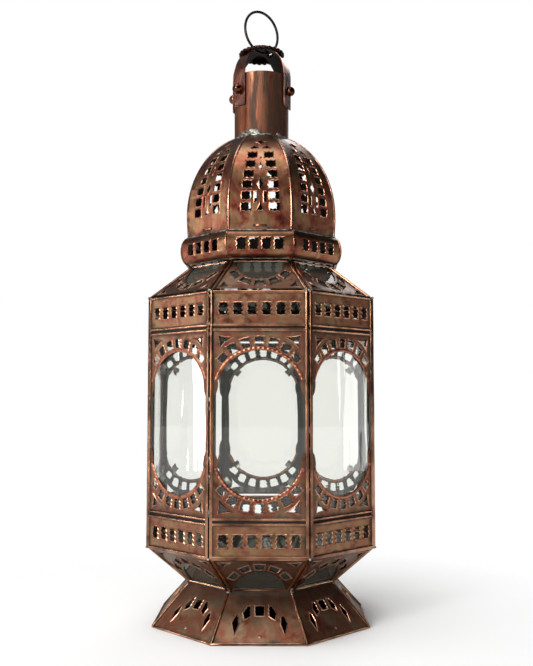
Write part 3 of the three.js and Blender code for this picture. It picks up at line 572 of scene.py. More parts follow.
def finish_sheet(bm, lip):
    """Marks the lips, which the material paints pale as wear and as painted highlight, lays the sheet's
    own UV map and gives the back its smoked side.
    """
    lip_mark = bm.verts.layers.float.new("lip_mark")
    for vert in bm.verts:
        vert[lip_mark] = 1.0 if vert.co.z > 0.4 * lip else 0.0
    across = max(abs(v.co.x) for v in bm.verts)
    low = min(v.co.y for v in bm.verts)
    high = max(v.co.y for v in bm.verts)
    flat = bm.loops.layers.uv.new("UVMap")
    for face in bm.faces:
        face.material_index = 1 if face.normal.z < -0.7 else 0
        for corner in face.loops:
            x, y, _ = corner.vert.co
            corner[flat].uv = (0.5 + x / across / 2, (y - low) / (high - low))


def tube(path, normal, along, sideways, segments=10, closed=False):
    """A rod of oval section on a flat path. The normal is that of the path's plane."""
    bm = bmesh.new()
    path = [Vector(point) for point in path]
    normal = Vector(normal)
    count = len(path)

    def section(i):
        before = path[i - 1] if closed or i > 0 else path[0]
        after = path[(i + 1) % count] if closed or i < count - 1 else path[-1]
        ahead = (after - before).normalized()
        other = ahead.cross(normal).normalized()
        turned = Matrix((normal * along, other * sideways, ahead)).transposed().to_4x4()
        return Matrix.Translation(path[i]) @ turned

    ring = bmesh.ops.create_circle(bm, cap_ends=not closed, segments=segments, radius=1,
                                   matrix=section(0))["verts"]
    first = [e for e in bm.edges if all(v in ring for v in e.verts)]
    edges = first
    for i in range(1, count):
        fresh = bmesh.ops.extrude_edge_only(bm, edges=edges)["geom"]
        verts = [g for g in fresh if isinstance(g, bmesh.types.BMVert)]
        edges = [e for e in fresh
                 if isinstance(e, bmesh.types.BMEdge) and all(v in verts for v in e.verts)]
        bmesh.ops.transform(bm, matrix=section(i) @ section(i - 1).inverted(), verts=verts)
    if closed:
        bmesh.ops.bridge_loops(bm, edges=first + edges)
    else:
        bmesh.ops.contextual_create(bm, geom=edges)
    bmesh.ops.recalc_face_normals(bm, faces=bm.faces)
    return bm


def rod(start, end, width=CAME, depth=CAME_DEPTH):
    """A straight rod on a face, with its front at Z = 0."""
    level = -depth / 2
    path = line((*start, level), (*end, level))
    return tube(path, UP, depth / 2, width / 2)


def spun(profile, steps=96, closed=True):
    """A round piece from its [radius, height] profile."""
    bm = bmesh.new()
    verts = [bm.verts.new((r, 0, z)) for r, z in profile]
    pairs = zip(verts, verts[1:] + verts[:1]) if closed else zip(verts, verts[1:])
    edges = [bm.edges.new(pair) for pair in pairs]
    bmesh.ops.spin(bm, geom=verts + edges, axis=UP, cent=(0, 0, 0), angle=math.tau,
                   steps=steps, use_merge=True, use_duplicate=False)
    bmesh.ops.remove_doubles(bm, verts=bm.verts, dist=0.001)
    bmesh.ops.recalc_face_normals(bm, faces=bm.faces)
    return bm


def slice_at(bm, normal, distance):
    """Divides a sheet along a plane, so that it can be bent there."""
    geometry = bm.verts[:] + bm.edges[:] + bm.faces[:]
    bmesh.ops.bisect_plane(bm, geom=geometry, plane_co=Vector(normal) * distance, plane_no=normal,
                           dist=0.01)


def bend(bm, curve, step):
    """Bends a flat sheet round a curve: its Y runs along the curve, and its Z is the way out."""
    low = min(v.co.y for v in bm.verts)
    high = max(v.co.y for v in bm.verts)
    count = math.ceil((high - low) / step)
    for i in range(1, count):
        slice_at(bm, ALONG, low + (high - low) * i / count)
    for vert in bm.verts:
        x, along, out = vert.co
        distance, height, lean = curve(along)
        vert.co = (x, -distance - out * math.cos(lean), height + out * math.sin(lean))
    return bm


def on_side(apothem, height, lean=0.0):
    """Stands a sheet on the front side, leaning outwards as it goes up."""
    return Matrix.Translation((0, -apothem, height)) @ Matrix.Rotation(math.pi / 2 + lean, 4, "X")


def turn(k):
    return Matrix.Rotation(k * TURN, 4, "Z")


def part(bm, matrix, *materials):
    """An object from a mesh in millimetres, placed in metres."""
    bm.transform(Matrix.Scale(MM, 4) @ matrix)
    mesh = bpy.data.meshes.new("part")
    bm.to_mesh(mesh)
    bm.free()
    for material in materials:
        mesh.materials.append(material)
    made = bpy.data.objects.new("part", mesh)
    scene.collection.objects.link(made)
    return made


def bead(path, normal, size, material, matrix=Matrix(), segments=10, closed=False):
    """A part that is one bead, wire or seam along a path."""
    return part(tube(path, normal, *size, segments, closed), matrix, material)


def join(parts):
    if len(parts) > 1:
        with bpy.context.temp_override(active_object=parts[0], selected_editable_objects=parts):
            bpy.ops.object.join()
    return parts[0]


def keep_lips_sharp(mesh):
    """Marks the foot of each lip as sharp, so that the sheet round it is shaded flat."""
    bm = bmesh.new()
    bm.from_mesh(mesh)
    lip_mark = bm.verts.layers.float.get("lip_mark")
    if lip_mark:
        for edge in bm.edges:
            worn = {any(vert[lip_mark] > 0.5 for vert in face.verts) for face in edge.link_faces}
            if len(worn) == 2:
                edge.smooth = False
        bm.to_mesh(mesh)
    bm.free()


def dress(name, parts, nodes=(), body="lantern"):
    """Joins the parts into one hand-made piece, names it, hides the frame's nodes that it stands for
    and attaches it to its body.
    """
    piece = join(parts)
    piece.name = name
    piece.data.name = name
    for vert in piece.data.vertices:
        vert.co += noise.noise_vector(vert.co / (WOBBLE_SIZE * MM)) * (WOBBLE * MM)
    piece.data.shade_smooth()
    piece.data.set_sharp_from_angle(angle=math.radians(38))
    keep_lips_sharp(piece.data)
    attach(piece, body)
    if nodes:
        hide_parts(*nodes)


def turned_copy(template, k):
    made = template.copy()
    made.data = template.data.copy()
    made.data.transform(turn(k))
    scene.collection.objects.link(made)
    return made


def drop(*templates):
    for template in templates:
        bpy.data.objects.remove(template)


def all_round(template):
    """A copy of a part on every side, in place of the part."""
    copies = [turned_copy(template, k) for k in range(len(SIDES))]
    drop(template)
    return copies


# Body


def arch_sheet():
    """The sheet round one arch, with the arch's centre at the origin and its head upwards."""
    side = LIGHT_HALF + LAP
    top = ARCH_RADIUS + ARCH_CROWN + WINDOW_RAIL - RAIL + LAP
    tail_top = ARCH_RADIUS * math.cos(ARCH_END) - 1.4
    inner = side - ARCH_RADIUS * math.sin(ARCH_END)
    tail = arc(inner + 0.6, ARCH_TAIL, math.pi, math.pi / 2, 6, (0, tail_top))
    tail = [(side - x, y) for x, y in tail]
    nicked = arc(ARCH_RADIUS, ARCH_RADIUS, ARCH_END, -ARCH_END, 96)
    for i, point in enumerate(nicked):
        if i % 6 == 3:
            point *= 1 + NICK / ARCH_RADIUS
    outline = [(-side, top)] + [(-x, y) for x, y in tail] + nicked[::-1] + tail[::-1] + [(side, top)]
    low = ARCH_RADIUS + ARCH_BAND
    openings = []
    for i in range(-3, 4):
        high = low + ARCH_OPENING * (LAST_OPENING if abs(i) == 3 else 1)
        middle = i * ARCH_PITCH
        near = ARCH_OPENING_WIDTH[0] / 2 / low
        far = ARCH_OPENING_WIDTH[1] / 2 / high
        corners = [(low, middle - near), (low, middle + near),
                   (high, middle + far), (high, middle - far)]
        corners = [(r * math.sin(a), r * math.cos(a)) for r, a in corners]
        openings.append(scalloped(corners, (2, 3, 2, 3), (0.5, 1.25, 0.6, 1.25)))
    return outline, openings + both_ways(scalloped(ARCH_CORNER, (1, 1, 1), (1.5, 0.8, 0.8), 6))


def arch_bead():
    """The rope-like bead that is chiselled along the arch."""
    path = arc(BEAD_RADIUS, BEAD_RADIUS, -ARCH_END, ARCH_END, 168)
    made = tube([(x, y, SHEET_LEVEL) for x, y in path], UP, 0.85, 1.8, 8)
    for vert in made.verts:
        angle = math.atan2(vert.co.x, vert.co.y)
        swell = BEAD_SWELL * math.cos(angle * ARCH_RADIUS / BEAD_PITCH * math.tau)
        vert.co.z += swell * max(0, vert.co.z - SHEET_LEVEL)
    return made


def face(outline, openings, place, material):
    """A pierced sheet, set back a little behind the rods."""
    place = place @ Matrix.Translation((0, 0, SHEET_LEVEL))
    return part(pierced(outline, openings), place, material, INSIDE)


def rods(lines, place, material=ROD, width=CAME):
    return [part(rod(a, b, width), place, material) for a, b in lines]


def panel_rods(low, high):
    """The four rods round a panel of the body."""
    place = on_side(BODY_APOTHEM, 0)
    x = FRAME_HALF - CAME / 2
    upright = [((s * x, low + 0.3), (s * x, high - 0.3)) for s in (-1, 1)]
    level = [((1 - x, y), (x - 1, y)) for y in (low + RAIL / 2, high - RAIL / 2)]
    return rods(upright, place) + rods(level, place, width=RAIL)


def band_parts(low, high):
    """A band of openings in a row, with its rods."""
    middle = (low + high) / 2
    outline = box(2 * (LIGHT_HALF + LAP), high - low - 2 * RAIL + 2 * LAP, 0, middle)
    openings = []
    for i in range(BAND_OPENINGS):
        x = (i - (BAND_OPENINGS - 1) / 2) * BAND_PITCH
        openings.append(scalloped(box(BAND_WIDTH, BAND_HEIGHT, x, middle), (2, 3), (0.6, 1.7)))
    return panel_rods(low, high) + [face(outline, openings, on_side(BODY_APOTHEM, 0), BAND_SHEET)]


def window_parts():
    """Rods, the two pierced arches with their beads, the tabs that hold the pane, and the flanges."""
    low = WINDOW_FOOT + WINDOW_RAIL
    high = WINDOW_TOP - WINDOW_RAIL
    reach = ARCH_RADIUS + ARCH_CROWN
    arches = [(high - reach, 1, 0), (low + reach, -1, math.pi)]
    parts = panel_rods(WINDOW_FOOT, WINDOW_TOP)
    for centre, _, turned in arches:
        upright = on_side(BODY_APOTHEM, centre) @ Matrix.Rotation(turned, 4, "Z")
        parts += [face(*arch_sheet(), upright, BODY_SHEET), part(arch_bead(), upright, ARCH_BEAD)]
    for centre, way, _ in arches:
        for heading in (-1, 1):
            across = heading * TAB_RADIUS * math.sin(TAB_HEADING)
            up = way * TAB_RADIUS * math.cos(TAB_HEADING)
            place = on_side(BODY_APOTHEM, centre) @ Matrix.Translation((across, up, -TAB_DEPTH))
            turned = Matrix.Rotation(-heading * way * TAB_HEADING, 4, "Z")
            parts.append(part(tab(), place @ turned, TIN))
    # The flanges behind the pane are near black as painted shade.
    for x in (-FLANGE_AT, FLANGE_AT):
        flange = pierced(box(FLANGE, high - low, x, (low + high) / 2), [], THIN_SHEET)
        parts.append(part(flange, on_side(BODY_APOTHEM - FLANGE_DEPTH, 0), SHADE_BLACK, SHADE_BLACK))
    return parts


def tab():
    """A bent scrap of tin."""
    bm = bmesh.new()
    bmesh.ops.create_grid(bm, x_segments=3, y_segments=1, size=TAB)
    for vert in bm.verts:
        vert.co.z = -0.55 * abs(vert.co.x)
        vert.co.y *= 0.8
    bmesh.ops.solidify(bm, geom=bm.faces[:], thickness=0.5)
    return bm


def walls():
    """Seven fixed sides, and the door side at the back with its sill, leaf and head."""
    lower = join(band_parts(BODY_FOOT, LOWER_TOP))
    upper = join(band_parts(UPPER_FOOT, BODY_TOP))
    window = join(window_parts())
    x = FRAME_HALF - CAME / 2
    gaps = [(LOWER_TOP, WINDOW_FOOT), (WINDOW_TOP, UPPER_FOOT)]
    bridges = [((s * x, a - 1), (s * x, b + 1)) for s in (-1, 1) for a, b in gaps]
    parts = rods(bridges, on_side(BODY_APOTHEM, 0))
    # Near-black strips behind the gaps beside the window are painted shade.
    for low, _ in gaps:
        strip = pierced(box(2 * LIGHT_HALF + CAME, RAIL_GAP + 2, 0, low + RAIL_GAP / 2), [], THIN_SHEET)
        parts.append(part(strip, on_side(BODY_APOTHEM - 1.7, 0), SHADE_BLACK, SHADE_BLACK))
    links = join(parts)
    for k, side in enumerate(SIDES):
        if k == DOOR:
            dress("door_sill_band", [turned_copy(lower, k)], ["door_sill"])
            dress("door_head_band", [turned_copy(upper, k)], ["door_head"])
            dress("door_window", [turned_copy(window, k)], ["door_leaf"], "door")
        else:
            parts = [turned_copy(piece, k) for piece in (lower, upper, window, links)]
            dress("pierced_wall_" + side, parts, ["wall_panel_" + side])
    drop(lower, upper, window, links)


# Sloping panels


def trapezium(narrow, wide, slant, inset, low, high):
    """Half the width of a sloping side at two levels, less an inset along its slanting edge."""
    slope = (wide - narrow) / slant
    return [narrow + slope * y - inset * math.hypot(1, slope) for y in (low, high)]


def sloping_panel(narrow_apothem, wide_apothem, rise, upside_down):
    """The sheet and rods of a sloping side, with the narrow end at Y = 0 before it is flipped."""
    run = wide_apothem - narrow_apothem
    slant = math.hypot(run, rise)
    lean = math.atan2(run, rise)
    narrow = narrow_apothem * math.tan(TURN / 2)
    wide = wide_apothem * math.tan(TURN / 2)

    def way(points):
        return [Vector((x, slant - y)) for x, y in reversed(points)] if upside_down else points

    inset = CORNER_GROOVE + CAME - LAP
    low = CAME - LAP
    high = slant - CAME + LAP
    sill, head = trapezium(narrow, wide, slant, inset, low, high)
    oval = arc(OVAL_HALF, OVAL_HEIGHT, math.pi / 2, -math.pi / 2, 40, (0, CAME))
    for i, point in enumerate(oval):
        if i % 5 == 2:
            point += (point - Vector((0, CAME))).normalized() * NICK
    outline = [(-sill, low), (-OVAL_HALF, low)] + oval[::-1]
    outline += [(OVAL_HALF, low), (sill, low), (head, high), (-head, high)]
    openings = []
    near = (OVAL_HALF + OVAL_BAND, OVAL_HEIGHT + OVAL_BAND)
    far = (near[0] + OVAL_OPENING[0], near[1] + OVAL_OPENING[1])
    for i in range(-2, 3):
        start = i * OVAL_PITCH - OVAL_SPREAD
        end = i * OVAL_PITCH + OVAL_SPREAD
        corners = arc(*near, start, end, 1, (0, CAME)) + arc(*far, end, start, 1, (0, CAME))
        openings.append(scalloped(corners, (2, 3, 2, 3), (0.5, 1, 0.7, 1)))
    corner = [(27, high - 4.6), (35.4, high - 14), (40.6, high - 3.6)]
    openings += both_ways(scalloped(corner, (1, 1, 1), (1.3, 0.8, 0.9), 5))
    half_low, half_high = trapezium(narrow, wide, slant, CORNER_GROOVE + CAME / 2, 0, slant)
    ends = [(half_low, 0.4), (half_high, slant - 0.4)]
    lines = [way([(s * x, y) for x, y in ends]) for s in (-1, 1)]
    for y in (CAME / 2, slant - CAME / 2):
        x = half_low + (half_high - half_low) * y / slant
        lines.append(way([(-x, y), (x, y)]))
    return way(outline), [way(points) for points in openings], lines, -lean if upside_down else lean


def sloping_tier(kind, narrow_apothem, wide_apothem, low, high, upside_down):
    apothem = wide_apothem if upside_down else narrow_apothem
    outline, openings, lines, lean = sloping_panel(narrow_apothem, wide_apothem, high - low,
                                                   upside_down)
    place = on_side(apothem, low, lean)
    sheet = face(outline, openings, place, DARK_SHEET)
    eaves = SEAM if upside_down else ROD
    template = join([sheet] + rods(lines[:3], place) + rods(lines[3:], place, eaves))
    for side, made in zip(SIDES, all_round(template)):
        dress("pierced_" + kind + "_" + side, [made], [kind + "_panel_" + side])


# Foot


def fan_openings():
    """The five claw-like openings of a foot side, about the middle of its fan."""
    made = [scalloped(FAN_MIDDLE, (1, 3, 2, 3), (-0.4, 0.8, 0.5, 0.8))]
    made += both_ways(scalloped(FAN_SECOND, (1, 1, 2, 1, 3), (-0.3, 0.7, 0.6, 0.4, 0.8)))
    made += both_ways(scalloped(FAN_OUTER, (2, 1, 1, 2, 1, 1), (0.1, 0.1, 0.2, 0.5, 0.1, 0.3)))
    return made


def foot():
    run = FOOT_APOTHEM - WAIST_APOTHEM
    slant = math.hypot(run, WAIST)
    lean = -math.atan2(run, WAIST)
    fan_middle = slant - FAN_DROP
    wide = FOOT_APOTHEM * math.tan(TURN / 2) - 0.2
    narrow = WAIST_APOTHEM * math.tan(TURN / 2) - 0.2
    outline = [(-wide, 1), (wide, 1), (narrow, slant), (-narrow, slant)]
    openings = [moved(points, 0, fan_middle) for points in fan_openings()]
    openings.append(arc(NAIL_HOLE, NAIL_HOLE, math.tau, 0, 8, (0.6, fan_middle + 1.2))[:-1])
    sheet = pierced(outline, openings)
    parts = all_round(part(sheet, on_side(FOOT_APOTHEM, 0, lean), FOOT_SHEET, INSIDE))
    seam = line((0, 0.6 - corner_of(FOOT_APOTHEM), 1.6), (0, -corner_of(WAIST_APOTHEM), FOOT_TOP))
    parts += [bead(seam, ACROSS, FOOT_SEAM, ROD, turn(k + 0.5)) for k in range(len(SIDES))]
    hem = octagon(FOOT_APOTHEM - 0.6, 1.3)
    parts.append(bead(hem, UP, HEM, ROD, closed=True))
    shelf = octagon(WAIST_APOTHEM - 0.6, FOOT_TOP - 0.6)
    parts.append(bead(shelf, UP, SHELF, BEAD, closed=True))
    dress("pierced_foot", parts, ["foot_skirt"])


# Collar


def collar_curve(along):
    """The half-round moulding, measured along its skin from the bottom."""
    middle = (COLLAR_FOOT + COLLAR_TOP) / 2
    half = (COLLAR_TOP - COLLAR_FOOT) / 2
    bulge = COLLAR_APOTHEM - DOME_FOOT_APOTHEM
    angle = math.pi * (along / COLLAR_LENGTH - 0.5)
    lean = math.atan2(bulge * math.sin(angle), half * math.cos(angle))
    return DOME_FOOT_APOTHEM + bulge * math.cos(angle), middle + half * math.sin(angle), lean


def collar():
    half = (DOME_FOOT_APOTHEM + 1) * math.tan(TURN / 2)
    bulge = (COLLAR_APOTHEM - DOME_FOOT_APOTHEM) * math.tan(TURN / 2)
    heights = [COLLAR_LENGTH * i / 16 for i in range(17)]
    right = [(half - 0.4 + bulge * math.sin(math.pi * s / COLLAR_LENGTH), s) for s in heights]
    openings = []
    for i in range(4):
        corners = box(*COLLAR_OPENING, (i - 1.5) * COLLAR_PITCH, COLLAR_LENGTH / 2)
        openings.append(scalloped(corners, (2, 3), (0.6, 1.15)))
    sheet = pierced(right + mirrored(right), openings, lip=FLAT_LIP, lip_width=FINE_LIP)
    parts = all_round(part(bend(sheet, collar_curve, 1.6), Matrix(), DOME_SHEET, INSIDE))
    profile = [collar_curve(COLLAR_LENGTH * i / 12)[:2] for i in range(13)]
    seam = [(0, 0.5 - corner_of(apothem), height) for apothem, height in profile]
    parts += [bead(seam, ACROSS, COLLAR_SEAM, BEAD, turn(k + 0.5)) for k in range(len(SIDES))]
    for height, apothem, material in ((COLLAR_FOOT + 0.6, SHOULDER_APOTHEM + 1.2, DARK_SHEET),
                                      (COLLAR_TOP - 0.6, DOME_FOOT_APOTHEM - 0.8, SEAM)):
        parts.append(bead(octagon(apothem - 2, height), UP, LEDGE, material, closed=True))
    dress("pierced_collar", parts, ["collar"])


# Dome


def dome_line():
    """The petal's line from its foot up to the flue."""
    points = [(DOME_FOOT_APOTHEM, DOME_FOOT), (DOME_APOTHEM, DOME_SPRING - 6)]
    end = math.acos((FLUE_RADIUS - 0.8) / DOME_APOTHEM)
    for i in range(41):
        t = end * i / 40
        points.append((DOME_APOTHEM * math.cos(t), DOME_SPRING + DOME_RISE * math.sin(t)))
    return walked(points)


DOME_LINE = dome_line()
DOME_LENGTH = DOME_LINE[-1][0]


def dome_curve(along):
    return follow(DOME_LINE, along)


def dome_along(height):
    """How far along its line the petal reaches a height."""
    for (s0, _, z0), (s1, _, z1) in zip(DOME_LINE, DOME_LINE[1:]):
        if z0 <= height <= z1:
            return s0 + (s1 - s0) * (height - z0) / (z1 - z0)
    return DOME_LENGTH


def petal_openings():
    """A ladder of squares up each side, and between them the wings, diamonds, slots and trefoil."""
    openings = []
    for row, (height, offset) in enumerate(ROWS):
        square = scalloped(box(ROW_WIDTH - ROW_TAPER * row, ROW_HEIGHT), (2, 2), (1.15, 0.6))
        for x in (offset, -offset):
            openings.append(moved(square, x, dome_along(height)))
    wing = scalloped(WING, (2, 1, 1, 1, 1), (0.6, 0.1, 0.3, 0.2, 0.2))
    offset, height = WING_AT
    openings += both_ways(moved(wing, offset, dome_along(height)))
    for height, half_width, half_height, depth in DIAMONDS:
        corners = [(0, -half_height), (half_width, 0), (0, half_height), (-half_width, 0)]
        openings.append(moved(scalloped(corners, (1,), (depth,)), 0, dome_along(height)))
    slot = scalloped(box(*PETAL_SLOT), (1, 3), (0.2, 0.35))
    offset, height = PETAL_SLOT_AT
    for x in (-offset, offset):
        openings.append(moved(slot, x, dome_along(height)))
    trefoil = scalloped(TREFOIL, (2, 1, 1), (0.7, 1.2, 1.2))
    openings.append(moved(trefoil, 0, dome_along(TREFOIL_HEIGHT)))
    return openings


def dome():
    right = []
    for i in range(25):
        along = DOME_LENGTH * i / 24
        right.append((dome_curve(along)[0] * math.tan(TURN / 2) - 0.5, along))
    sheet = pierced(right + mirrored(right), petal_openings(), lip=FLAT_LIP, lip_width=FINE_LIP)
    petal = part(bend(sheet, dome_curve, 3.2), Matrix(), DOME_SHEET, INSIDE)
    profile = [dome_curve(DOME_LENGTH * i / 40)[:2] for i in range(41)]
    seam = [(0, 0.7 - corner_of(apothem), height) for apothem, height in profile]
    rib = bead(seam, ACROSS, RIB, DOME_BEAD)
    # Beside each rib, a near-black strip is its painted shadow.
    shade = bead([(0, y + 0.5, z) for _, y, z in seam], ACROSS, RIB_SHADOW, SHADE_BLACK)
    pin = staple()
    for k, side in enumerate(SIDES):
        parts = [turned_copy(petal, k), turned_copy(rib, k + 0.5), turned_copy(shade, k + 0.5),
                 turned_copy(pin, k)]
        dress("dome_side_" + side, parts, ["dome_petal_" + side])
    drop(petal, rib, shade, pin)


def staple():
    """The wire staple that pins each petal to the collar."""
    apothem, height, _ = dome_curve(5)
    path = [(x, -apothem - out, height) for x, out in STAPLE]
    parts = [bead(path, UP, STAPLE_WIRE, ARCH_BEAD, segments=8)]
    # A near-black dent at each leg of the staple is painted shade in its hole.
    for x in (-STAPLE_HOLE, STAPLE_HOLE):
        hole = line((x - 0.9, -apothem - 0.1, height), (x + 0.9, -apothem - 0.1, height))
        parts.append(bead(hole, UP, STAPLE_DENT, SHADE_BLACK, segments=8))
    return join(parts)


# Solder


def solder_line(name, path, along, sideways, rough):
    """A run of solder whose thickness varies as it was fed."""
    bm = tube(path, UP, along, sideways, closed=True)
    for vert in bm.verts:
        lump = noise.noise(vert.co / 7) + 0.6 * noise.noise(vert.co / 2.5)
        vert.co += Vector((vert.co.x, vert.co.y, 0)).normalized() * (rough * lump)
        vert.co.z += rough * 1.4 * noise.noise(vert.co / 5 + Vector((9, 4, 2)))
    dress(name, [part(bm, Matrix(), SOLDER)])


def blob(spot, size, seed, shape=(1, 1, 0.8), angle=0.0):
    bm = bmesh.new()
    bmesh.ops.create_icosphere(bm, subdivisions=3, radius=size)
    for vert in bm.verts:
        vert.co *= 1 + 0.35 * noise.noise(vert.co / size * 1.6 + Vector((seed, 0, 0)))
        vert.co = Vector(vert.co) * Vector(shape)
    return part(bm, Matrix.Translation(spot) @ Matrix.Rotation(angle, 4, "Z"), SOLDER)


def solder():
    crown = dome_curve(DOME_LENGTH)[1]
    solder_line("flue_solder", ring_path(FLUE_RADIUS + 0.5, crown), 1.2, 1.1, 0.45)
    patches = []
    for heading, rise, size in FLUE_PATCHES:
        angle = math.radians(heading)
        spot = around(FLUE_RADIUS, angle, crown + rise)
        patches.append(blob(spot, size, heading, (1, 0.36, 0.62), angle))
    dress("solder_patches", patches)
    solder_line("dome_solder", octagon(DOME_FOOT_APOTHEM + 0.4, DOME_FOOT + 0.2), 0.8, 1.1, 0.35)
    solder_line("collar_solder", octagon(SHOULDER_APOTHEM + 2.4, COLLAR_FOOT + 0.4), 0.9, 0.6, 0.3)
    spots = []
    for k in range(len(SIDES)):
        for apothem, height, size in ((WAIST_APOTHEM, WAIST, 1.9), (BODY_APOTHEM - 1.4, BODY_FOOT, 1.7),
                                      (BODY_APOTHEM - 1.4, BODY_TOP, 1.7),
                                      (SHOULDER_APOTHEM, COLLAR_FOOT, 1.9)):
            spots.append(blob(around(corner_of(apothem), (k + 0.5) * TURN, height), size, k + height))
    dress("solder_spots", spots)
    seams = []
    radius = corner_of(BODY_APOTHEM - 2.6)
    for k in range(len(SIDES)):
        spans = [(BODY_FOOT, BODY_TOP)]
        if k in (DOOR - 1, DOOR):
            spans = [(BODY_FOOT, LOWER_TOP), (UPPER_FOOT, BODY_TOP)]
        for low, high in spans:
            path = line((0, -radius, low), (0, -radius, high))
            seams.append(bead(path, ACROSS, CORNER_SEAM, SEAM, turn(k + 0.5)))
    dress("corner_seams", seams)


# Crown


def flue():
    inside = FLUE_RADIUS - 1
    low = DOME_SPRING + DOME_RISE * 0.92 - 8
    profile = [(inside, low), (FLUE_RADIUS, low)]
    profile += [(FLUE_RADIUS, low + (FLUE_TOP - low) * i / 26) for i in range(1, 26)]
    profile += [(FLUE_RADIUS + 0.25, FLUE_TOP - 1.4), (FLUE_RADIUS + 0.3, FLUE_TOP - 0.5),
                (FLUE_RADIUS - 0.3, FLUE_TOP), (inside, FLUE_TOP - 0.4)]
    parts = [part(spun(profile), Matrix(), FLUE_COPPER)]
    rim = ring_path(FLUE_RADIUS - 0.4, FLUE_TOP - 0.5)
    parts.append(bead(rim, UP, FLUE_RIM, ARCH_BEAD, segments=8, closed=True))
    dress("flue", parts, ["flue_tube"])


def strap_line():
    """The strap's line: a quarter oval from the crown outwards, then straight down the flue."""
    points = []
    for i in range(31):
        angle = math.pi / 2 * i / 30
        rise = (STRAP_TOP - FLUE_TOP) * math.cos(angle)
        points.append((STRAP_REACH * math.sin(angle), FLUE_TOP + rise))
    return walked(points + [(STRAP_REACH, STRAP_FOOT)])


def strap(angle, slotted):
    """Half of a strap, from the crown down one side of the flue."""
    rows = strap_line()
    length = rows[-1][0]
    outline = [(-STRAP_HALF, 0), (STRAP_HALF, 0), (STRAP_HALF, length - 1), (STRAP_HALF - 1, length),
               (1 - STRAP_HALF, length), (-STRAP_HALF, length - 1)]
    near, far, width = SLOT
    slot = box(width - 0.6, far - near, 0, (near + far) / 2 + 0.4)
    bm = pierced(outline, [slot] if slotted else [], STRAP, NO_LIP)
    bmesh.ops.reverse_faces(bm, faces=bm.faces)
    for i in range(1, STRAP_SLICES):
        slice_at(bm, ALONG, length * i / STRAP_SLICES)
    for vert in bm.verts:
        x, along, out = vert.co
        distance, height, lean = follow(rows, along)
        vert.co = (x, -distance + out * math.cos(lean), height - out * math.sin(lean))
    bmesh.ops.recalc_face_normals(bm, faces=bm.faces)
    return part(bm, Matrix.Rotation(angle, 4, "Z"), STRAP_COPPER, INSIDE)


def straps():
    parts = []
    for heading, slotted in ((RING_STRAP, True), (SIDE_STRAP, False)):
        for half_turn in (0, math.pi):
            parts.append(strap(heading + half_turn, slotted))
    dress("straps", parts, ["strap_cross"])


def rivets():
    headings = {"rivet_front_left": RING_STRAP + math.pi, "rivet_front_right": SIDE_STRAP,
                "rivet_back_right": RING_STRAP, "rivet_back_left": SIDE_STRAP + math.pi}
    for name, heading in headings.items():
        ball = arc(RIVET_RADIUS, RIVET_RADIUS, math.radians(122), 0, 14, (0, 3.2))
        profile = [(0, -3), (1.5, -3), (1.5, 0.39)] + [(x, y) for x, y in ball[:-1]] + [(0, 8.5)]
        out = Matrix.Rotation(heading, 4, "Z") @ Matrix.Translation((0, -STRAP_REACH, RIVET_HEIGHT))
        head = part(spun(profile, 32, closed=False), out @ Matrix.Rotation(math.pi / 2, 4, "X"),
                    RIVET_COPPER)
        dress("round_" + name, [head], [name])


def rosette():
    """A thin scalloped cap with a boss beaten up in each lobe, and two slots for the ring."""
    steps = ROSETTE_LOBES * 8
    outline = []
    for i in range(steps):
        angle = math.tau * i / steps
        radius = ROSETTE_RADIUS - 0.4 + 0.9 * abs(math.cos(angle * ROSETTE_LOBES / 2))
        outline.append((radius * math.cos(angle), radius * math.sin(angle)))
    near, far, width = SLOT
    slots = [box(width, far - near, 0, s * (near + far) / 2) for s in (-1, 1)]
    bm = pierced(outline, slots, SHEET, 0.3)
    for i in range(-9, 10):
        for normal in (ACROSS, ALONG):
            slice_at(bm, normal, i * 2.6)
    for vert in bm.verts:
        radius = math.hypot(vert.co.x, vert.co.y)
        vert.co.z -= ROSETTE_DROOP * (radius / ROSETTE_RADIUS) ** 2
    place = Matrix.Translation((0, 0, ROSETTE_TOP)) @ Matrix.Rotation(RING_STRAP, 4, "Z")
    parts = [part(bm, place, BLACKENED, BLACKENED)]
    for i in range(ROSETTE_LOBES):
        angle = math.tau * (i + 0.5) / ROSETTE_LOBES
        boss = bmesh.new()
        bmesh.ops.create_uvsphere(boss, u_segments=14, v_segments=8, radius=ROSETTE_BOSS)
        radius = ROSETTE_RADIUS - 2.2
        spot = (radius * math.cos(angle), radius * math.sin(angle), ROSETTE_TOP - ROSETTE_DROOP)
        flattened = Matrix.Translation(spot) @ Matrix.Diagonal((1, 1, 0.85, 1))
        parts.append(part(boss, flattened, BLACKENED))
    dress("scalloped_rosette", parts, ["rosette"])


def hanging_ring():
    centre = RING_TOP - RING_RADIUS - RING_WIRE
    angles = [math.tau * i / 72 for i in range(72)]
    path = [(RING_RADIUS * math.sin(a), 0, centre + RING_RADIUS * math.cos(a)) for a in angles]
    turned = Matrix.Rotation(RING_STRAP - math.pi / 2, 4, "Z")
    wire = bead(path, ALONG, (RING_WIRE, RING_WIRE), IRON, turned, 14, closed=True)
    dress("wire_ring", [wire], ["hanging_ring"], "ring")


# Inside, and the door's fittings


def candle_cup():
    low = foot_of("candle_cup")
    high = top_of("candle_cup")
    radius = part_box("candle_cup")[1].x / MM
    profile = [(0, low), (radius, low), (radius, high - 0.8), (radius + 0.2, high - 0.3),
               (radius - 0.4, high), (radius - 0.9, high - 0.5), (radius - 0.9, low + 1), (0, low + 1)]
    dress("tin_cup", [part(spun(profile, 64, closed=False), Matrix(), TIN)], ["candle_cup"])


